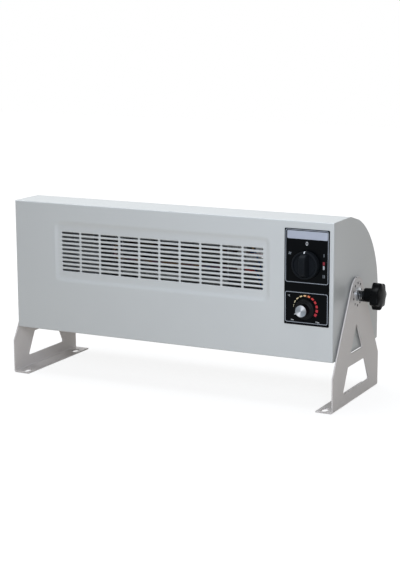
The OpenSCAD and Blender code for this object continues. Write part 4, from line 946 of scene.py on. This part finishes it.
# %% Thermostat dial
dial_low, dial_high = box_mm("thermostat_dial")
cap_low, cap_high = box_mm("thermostat_cap")
dial_radius = (dial_high[0] - dial_low[0]) / 2
dial_length = dial_high[1] - dial_low[1]
cap_radius = (cap_high[0] - cap_low[0]) / 2
dial_base = (dial_centre[0], dial_high[1], dial_centre[2])
dial_corners = [(dial_length, 0), (dial_length, cap_radius), (dial_length - 1, cap_radius + 0.3),
                (4.6, cap_radius + 0.8), (4.2, cap_radius + 1.8), (3.6, cap_radius + 2.0),
                (3.4, cap_radius + 3.2), (2.8, cap_radius + 3.4), (2.5, dial_radius - 1.0),
                (1.5, dial_radius), (0, dial_radius), (0, shaft_bore), (shaft_depth, shaft_bore),
                (shaft_depth, 0)]
dial_setbacks = [0, 0.3, 0.3, 0.4, 0.2, 0.2, 0.2, 0.2, 0.2, 0.4, 0.2, 0.1, 0, 0]
dial_profile = eased(dial_corners, dial_setbacks)
dial = carried_round(*dial_profile.T, dial_base, (0, -1, 0), (1, 0, 0), 120)
new_piece("stepped_thermostat_dial", dial, finishes["dial_plastic"], "dial",
          ["thermostat_dial"], sharp=50)


# %% [markdown]
# ## Print on the control plate
# The plate is a film printed from behind: grey frames, marks for the switch's four places, a rising
# arc for the heat, and a silver strip at the top that stays bare. Print has almost no thickness, but
# a closed slab that stands 0.05 mm proud of the plate keeps it a real surface that every renderer
# shows. Each mark is an outline in width and height, and its slab is a small grid of rings.

# %% Slabs in front of the plate
print_height = 0.05
print_sink = 0.02
print_front = plate_low[1] - print_height
print_back = plate_low[1] + print_sink


def slab(loop, inner=None, front=print_front, back=print_back):
    """A closed outline in width and height made a slab. With an inner outline it is a ring, and
    without one its faces meet in the middle."""
    loop = np.asarray(loop, float)
    middle = np.repeat(loop.mean(axis=0, keepdims=True), len(loop), axis=0)
    inside = middle if inner is None else np.asarray(inner, float)
    rings = [np.insert(ring, 1, depth, axis=1)
             for ring, depth in ((inside, front), (loop, front), (loop, back), (inside, back))]
    return grid_shape(np.array(rings), close_rows=inner is not None)


def printed(name, shape, ink):
    """A printed mark rides on the casing with the control plate."""
    new_piece(name, shape, ink, "housing")


# %% Outlines for print
def ellipse(centre, half, sides=40):
    """Points at even angles: the centre, plus half of each size times a circle."""
    return np.asarray(centre) + half * on_circle(full_turn(sides))


def round_box(low, high, radius, steps=8):
    """A rectangle with round corners: a quarter circle round the middle of each corner."""
    low, high = np.asarray(low, float), np.asarray(high, float)
    quarter = np.arange(4) * math.pi / 2
    angle = (quarter[:, None] + np.linspace(0, math.pi / 2, steps + 1)).ravel()
    side = np.repeat(np.sign(on_circle(quarter + math.pi / 4)), steps + 1, axis=0)
    return (low + high) / 2 + side * ((high - low) / 2 - radius) + on_circle(angle, radius)


# %% Places on the plate
right = panel_high[0]
base = panel_low[2]
line_width = 0.8
upper_frame = np.array([(right - 73.0, base + 112.0), (right - 7.6, base + 187.9)])
lower_frame = np.array([(right - 73.2, base + 54.2), (right - 8.0, base + 98.3)])
strip = np.array([(right - 70.4, base + 174.6), (right - 8.9, base + 186.0)])
switch_middle = selector_centre[[0, 2]]
label_radius = 30.0


def around_switch(degrees):
    """A place on the circle of marks: the switch's middle plus the radius at that angle."""
    return switch_middle + on_circle(math.radians(degrees), label_radius)


# %% Frames, bars and the fan symbol
def framed(box, radius):
    """A printed line round a box: the inner outline is the outer one drawn in by the line's width."""
    return slab(round_box(*box, radius), round_box(box[0] + line_width, box[1] - line_width,
                                                   radius - line_width))


def bar_at(centre, width, height, radius=0.3):
    """A bar with rounded corners, half its size to each side of its centre."""
    half = np.array([width, height]) / 2
    return slab(round_box(centre - half, centre + half, radius))


def fan_symbol(centre, size):
    """Four blades: the radius follows the cosine of twice the angle and falls to 0.3 of the size
    between them, and the angle grows with the radius, which bends the blades."""
    turn = full_turn(96)
    radius = size * (0.3 + 0.7 * np.abs(np.cos(2 * turn)))
    return centre + on_circle(turn + 0.25 * radius, radius)


# %% Inks, frames, switch marks and strip
ink_tones = {"grey": ("#9AA0A8", "#A4AAB2"), "dim_grey": ("#6C7177", "#757A80"),
             "mid_grey": ("#AEB0B3", "#B8BABD"), "white": ("#D6D8DA", "#DFE1E2"),
             "red": ("#7C1626", "#861C2B")}
inks = {name: grained("screen_printed_%s_ink" % name, tones, 20, 0.3, 0.002, 0.45, IOR=1.45)
        for name, tones in ink_tones.items()}
zero_middle = around_switch(90)
one_middle = around_switch(30)
two_middle = around_switch(-30)
heat_middle = np.array([around_switch(0)[0] - 4.2, switch_middle[1]])

printed("printed_frames", together([framed(upper_frame, 3.0), framed(lower_frame, 3.0)]),
        inks["grey"])
printed("printed_zero", slab(ellipse(zero_middle, (1.7, 2.8)), ellipse(zero_middle, (1.0, 2.1))),
        inks["white"])
printed("printed_switch_marks", together([
    slab(fan_symbol(around_switch(150), 2.5)), bar_at(one_middle, 1.0, 4.6),
    bar_at(two_middle - (1.1, 0), 1.0, 4.6), bar_at(two_middle + (1.1, 0), 1.0, 4.6)]),
    inks["dim_grey"])
printed("printed_heat_mark_white", bar_at(heat_middle - (0, 2.6), 2.4, 5.6, 1.0), inks["mid_grey"])
printed("printed_heat_mark_red", bar_at(heat_middle + (0, 3.4), 3.0, 4.6, 0.6), inks["red"])
silver_ink = grained("silver_printed_strip", ("#A9AEBB", "#B3B8C4"), 12, 0.25, 0.002, 0.38, IOR=1.5)
printed("printed_strip", slab(round_box(*strip, 1.6)), silver_ink)

# %% Rising arc
arc_middle = np.array((right - 42.1, base + 75.9))
arc_radius = 17.85
arc_steps = 11
arc_first = 172.2
arc_spacing = 20.1
arc_length = 12.8
arc_widths = np.linspace(0.8, 4.0, arc_steps)
bend = np.radians(np.linspace(-arc_length / 2, arc_length / 2, 9))


def arc_mark(index):
    """One mark of the arc: its outer edge one way and its inner edge back, half its width out and in
    from the arc's radius."""
    angle = math.radians(arc_first - arc_spacing * index) + np.concatenate([bend, bend[::-1]])
    radius = arc_radius + arc_widths[index] / 2 * np.repeat([1, -1], bend.size)
    return slab(arc_middle + on_circle(angle, radius))


# %% Ink of the rising arc
ramp_ends = (-180, 40)


def ramp_ink(name, middle, stops):
    """Ink whose colour follows the angle round a middle, clockwise from the right, from one end of
    the ramp to the other."""
    material, tree, shader, place = start_material(name, Roughness=0.45, IOR=1.45)
    away = add_node(tree, "VectorMath", {0: place, 1: (middle[0], 0, middle[1])}, operation="SUBTRACT")
    flat = add_node(tree, "SeparateXYZ", {0: away})
    below = add_node(tree, "Math", {0: flat.outputs["Z"], 1: -1.0}, operation="MULTIPLY")
    angle = add_node(tree, "Math", {0: below, 1: flat.outputs["X"]}, operation="ARCTAN2")
    share = add_node(tree, "MapRange", {0: angle, 1: math.radians(ramp_ends[0]),
                                        2: math.radians(ramp_ends[1])})
    ramp = add_node(tree, "ValToRGB", {0: share})
    set_stops(ramp, stops)
    set_inputs(tree, shader, {"Base Color": ramp})
    return material


heat_ink = ramp_ink("screen_printed_heat_scale", arc_middle, [
    (0, "#8F8A72"), (0.14, "#EADDB4"), (0.32, "#F3D9A2"), (0.41, "#F4BE86"), (0.49, "#EA7850"),
    (0.58, "#CC3638"), (1, "#B02434")])
printed("printed_heat_arc", together([arc_mark(index) for index in range(arc_steps)]), heat_ink)

# %% Lettering
letter_size = 3.3
letter_merge = 0.002
words = [("Min", right - 61.4, base + 57.4), ("Max", right - 23.0, base + 57.0),
         ("\u00b0C", right - 67.0, base + 92.0)]
lettering = bmesh.new()
for word, x, height in words:
    curve = bpy.data.curves.new("lettering", "FONT")
    curve.body = word
    curve.size = letter_size * MM
    curve.extrude = print_height * MM / 2
    curve.align_x = "CENTER"
    curve.align_y = "CENTER"
    holder = in_scene("lettering", curve)
    ready = holder.evaluated_get(bpy.context.evaluated_depsgraph_get())
    flat_word = bpy.data.meshes.new_from_object(ready)
    flat_word.transform(Matrix.Translation(Vector((x, print_front + print_height / 2, height)) * MM)
                        @ Matrix.Rotation(math.pi / 2, 4, "X"))
    lettering.from_mesh(flat_word)
    bpy.data.objects.remove(holder)
    bpy.data.curves.remove(curve)
    bpy.data.meshes.remove(flat_word)
letter_mesh = bpy.data.meshes.new("printed_lettering")
write_closed(lettering, letter_mesh, letter_merge)
letter_mesh.materials.append(inks["white"])
letter_piece = in_scene("printed_lettering", letter_mesh)
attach(letter_piece, "housing")
print("lettering:", len(letter_mesh.polygons), "faces")


# %% [markdown]
# ## Pointers
# A white line runs over the selector's rim, and a small pale grey nib stands on the dial's hub. The
# line is a narrow band laid 0.05 mm above the eased rim, so it bends with it.

# %% Selector pointer
pointer_half_width = 0.95
pointer_start = dish_radius + 0.2
pointer_end = 4.8


def rim_path(lift):
    """The rim's outline from the land to half way down the wall, lifted off the plastic."""
    return eased([(rim_height + lift, pointer_start), (rim_height + lift, selector_radius + lift),
                  (pointer_end, selector_radius + lift)], [0, rim_edge, 0], steps=8)


def on_rim(path, aside):
    """A path of heights and radii laid at the top of the drum and moved sideways."""
    return np.stack([np.full(len(path), selector_base[0] + aside), selector_base[1] - path[:, 0],
                     selector_base[2] + path[:, 1]], -1)


above, below = rim_path(print_height), rim_path(-print_height)
pointer_rings = np.stack([on_rim(above, -pointer_half_width), on_rim(above, pointer_half_width),
                          on_rim(below, pointer_half_width), on_rim(below, -pointer_half_width)],
                         axis=1)
new_piece("selector_pointer_line", capped(pointer_rings), inks["white"], "selector")

# %% Dial pointer
nib_angle = math.radians(207)
nib_top = 12.4
nib_foot = 9.4
nib_outline = np.array([(8.4, 1.4), (11.9, 0.7), (12.3, 0), (11.9, -0.7), (8.4, -1.4)])
turned = np.array([[math.cos(nib_angle), math.sin(nib_angle)],
                   [-math.sin(nib_angle), math.cos(nib_angle)]])
nib = slab(nib_outline @ turned + dial_centre[[0, 2]], front=dial_base[1] - nib_top,
           back=dial_base[1] - nib_foot)
new_piece("dial_pointer_nib", nib, inks["mid_grey"], "dial")


# %% [markdown]
# ## Floor, backdrop and light
# The heater stands in a white studio: one large softbox overhead, a weaker one in front on the
# right, and white walls all round. To the camera, and in reflections, the surroundings are plain
# white. The floor mixes its own white with a share of real light, so a faint shadow stays where the
# feet stand, and its own white grows with the distance until it meets the backdrop. What the floor
# throws back on the heater is a little dull and warm, so the undersides don't turn as white as it.

# %% What the camera sees of the surroundings
def seen_directly(tree):
    """1 for rays from the camera, off a gloss or through glass, and 0 for light on its way to other
    surfaces: the largest of three answers of the Light Path."""
    ray = add_node(tree, "LightPath")
    camera_or_gloss = add_node(tree, "Math", {0: ray.outputs["Is Camera Ray"],
                                              1: ray.outputs["Is Glossy Ray"]},
                               operation="MAXIMUM")
    return add_node(tree, "Math", {0: camera_or_gloss, 1: ray.outputs["Is Transmission Ray"]},
                    operation="MAXIMUM")


# %% Floor
floor_reach = 4000 * MM
floor_drop = 0.2 * MM
white_from = 0.3
white_to = 1.1
near_white = 0.87
bounce_tone = "#C8C0B4"
shadow_tone = "#7C7C7C"
floor_mesh = bpy.data.meshes.new("floor")
floor_mesh.from_pydata([(x * floor_reach, y * floor_reach, -floor_drop)
                        for x, y in ((-1, -1), (1, -1), (1, 1), (-1, 1))], [], [(0, 1, 2, 3)])
floor = in_scene("floor", floor_mesh)

paper = bpy.data.materials.new("white_paper")
tree = empty_tree(paper)
spot = add_node(tree, "TexCoord")
away = add_node(tree, "VectorMath", {0: spot.outputs["Object"]}, operation="LENGTH")
own_white = add_node(tree, "MapRange", {0: away.outputs["Value"], 1: white_from, 2: white_to,
                                        3: near_white, 4: 1.0})
glow = add_node(tree, "Emission", {"Color": (1, 1, 1, 1), "Strength": own_white})
bounce = add_node(tree, "BsdfDiffuse", {"Color": linear(bounce_tone)})
shadow = add_node(tree, "BsdfDiffuse", {"Color": linear(shadow_tone)})
shown = add_node(tree, "AddShader", {0: glow, 1: shadow})
surface = add_node(tree, "MixShader", {0: seen_directly(tree), 1: bounce, 2: shown})
add_node(tree, "OutputMaterial", {"Surface": surface})
floor_mesh.materials.append(paper)
print("floor of", round(2 * floor_reach), "m, white from", white_to, "m outwards")

# %% World
bpy.context.scene.view_settings.view_transform = "Standard"
world_light = 0.08
world = bpy.data.worlds.new("white_studio")
bpy.context.scene.world = world
tree = empty_tree(world)
ambient = add_node(tree, "Background", {"Color": (1, 1, 1, 1), "Strength": world_light})
white = add_node(tree, "Background", {"Color": (1, 1, 1, 1), "Strength": 1.0})
backdrop = add_node(tree, "MixShader", {0: seen_directly(tree), 1: ambient, 2: white})
add_node(tree, "OutputWorld", {"Surface": backdrop})
print("world light", world_light)


# %% Softboxes
def softbox(name, place, target, size, power, tint):
    """A square area light at place, turned to face the target; lengths in millimetres."""
    light = bpy.data.lights.new(name, "AREA")
    light.size = size * MM
    light.energy = power
    light.color = linear(tint)[:3]
    holder = in_scene(name, light)
    holder.location = Vector(place) * MM
    holder.rotation_euler = (Vector(target) - Vector(place)).to_track_quat("-Z", "Y").to_euler()
    print(name, "of", power, "W")


softbox("overhead_softbox", (-350, 150, 2000), (0, 0, 150), 1600, 36, "#F4F9FF")
softbox("front_softbox", (600, -1190, 620), (100, 0, 170), 900, 12.4, "#E8F1FF")
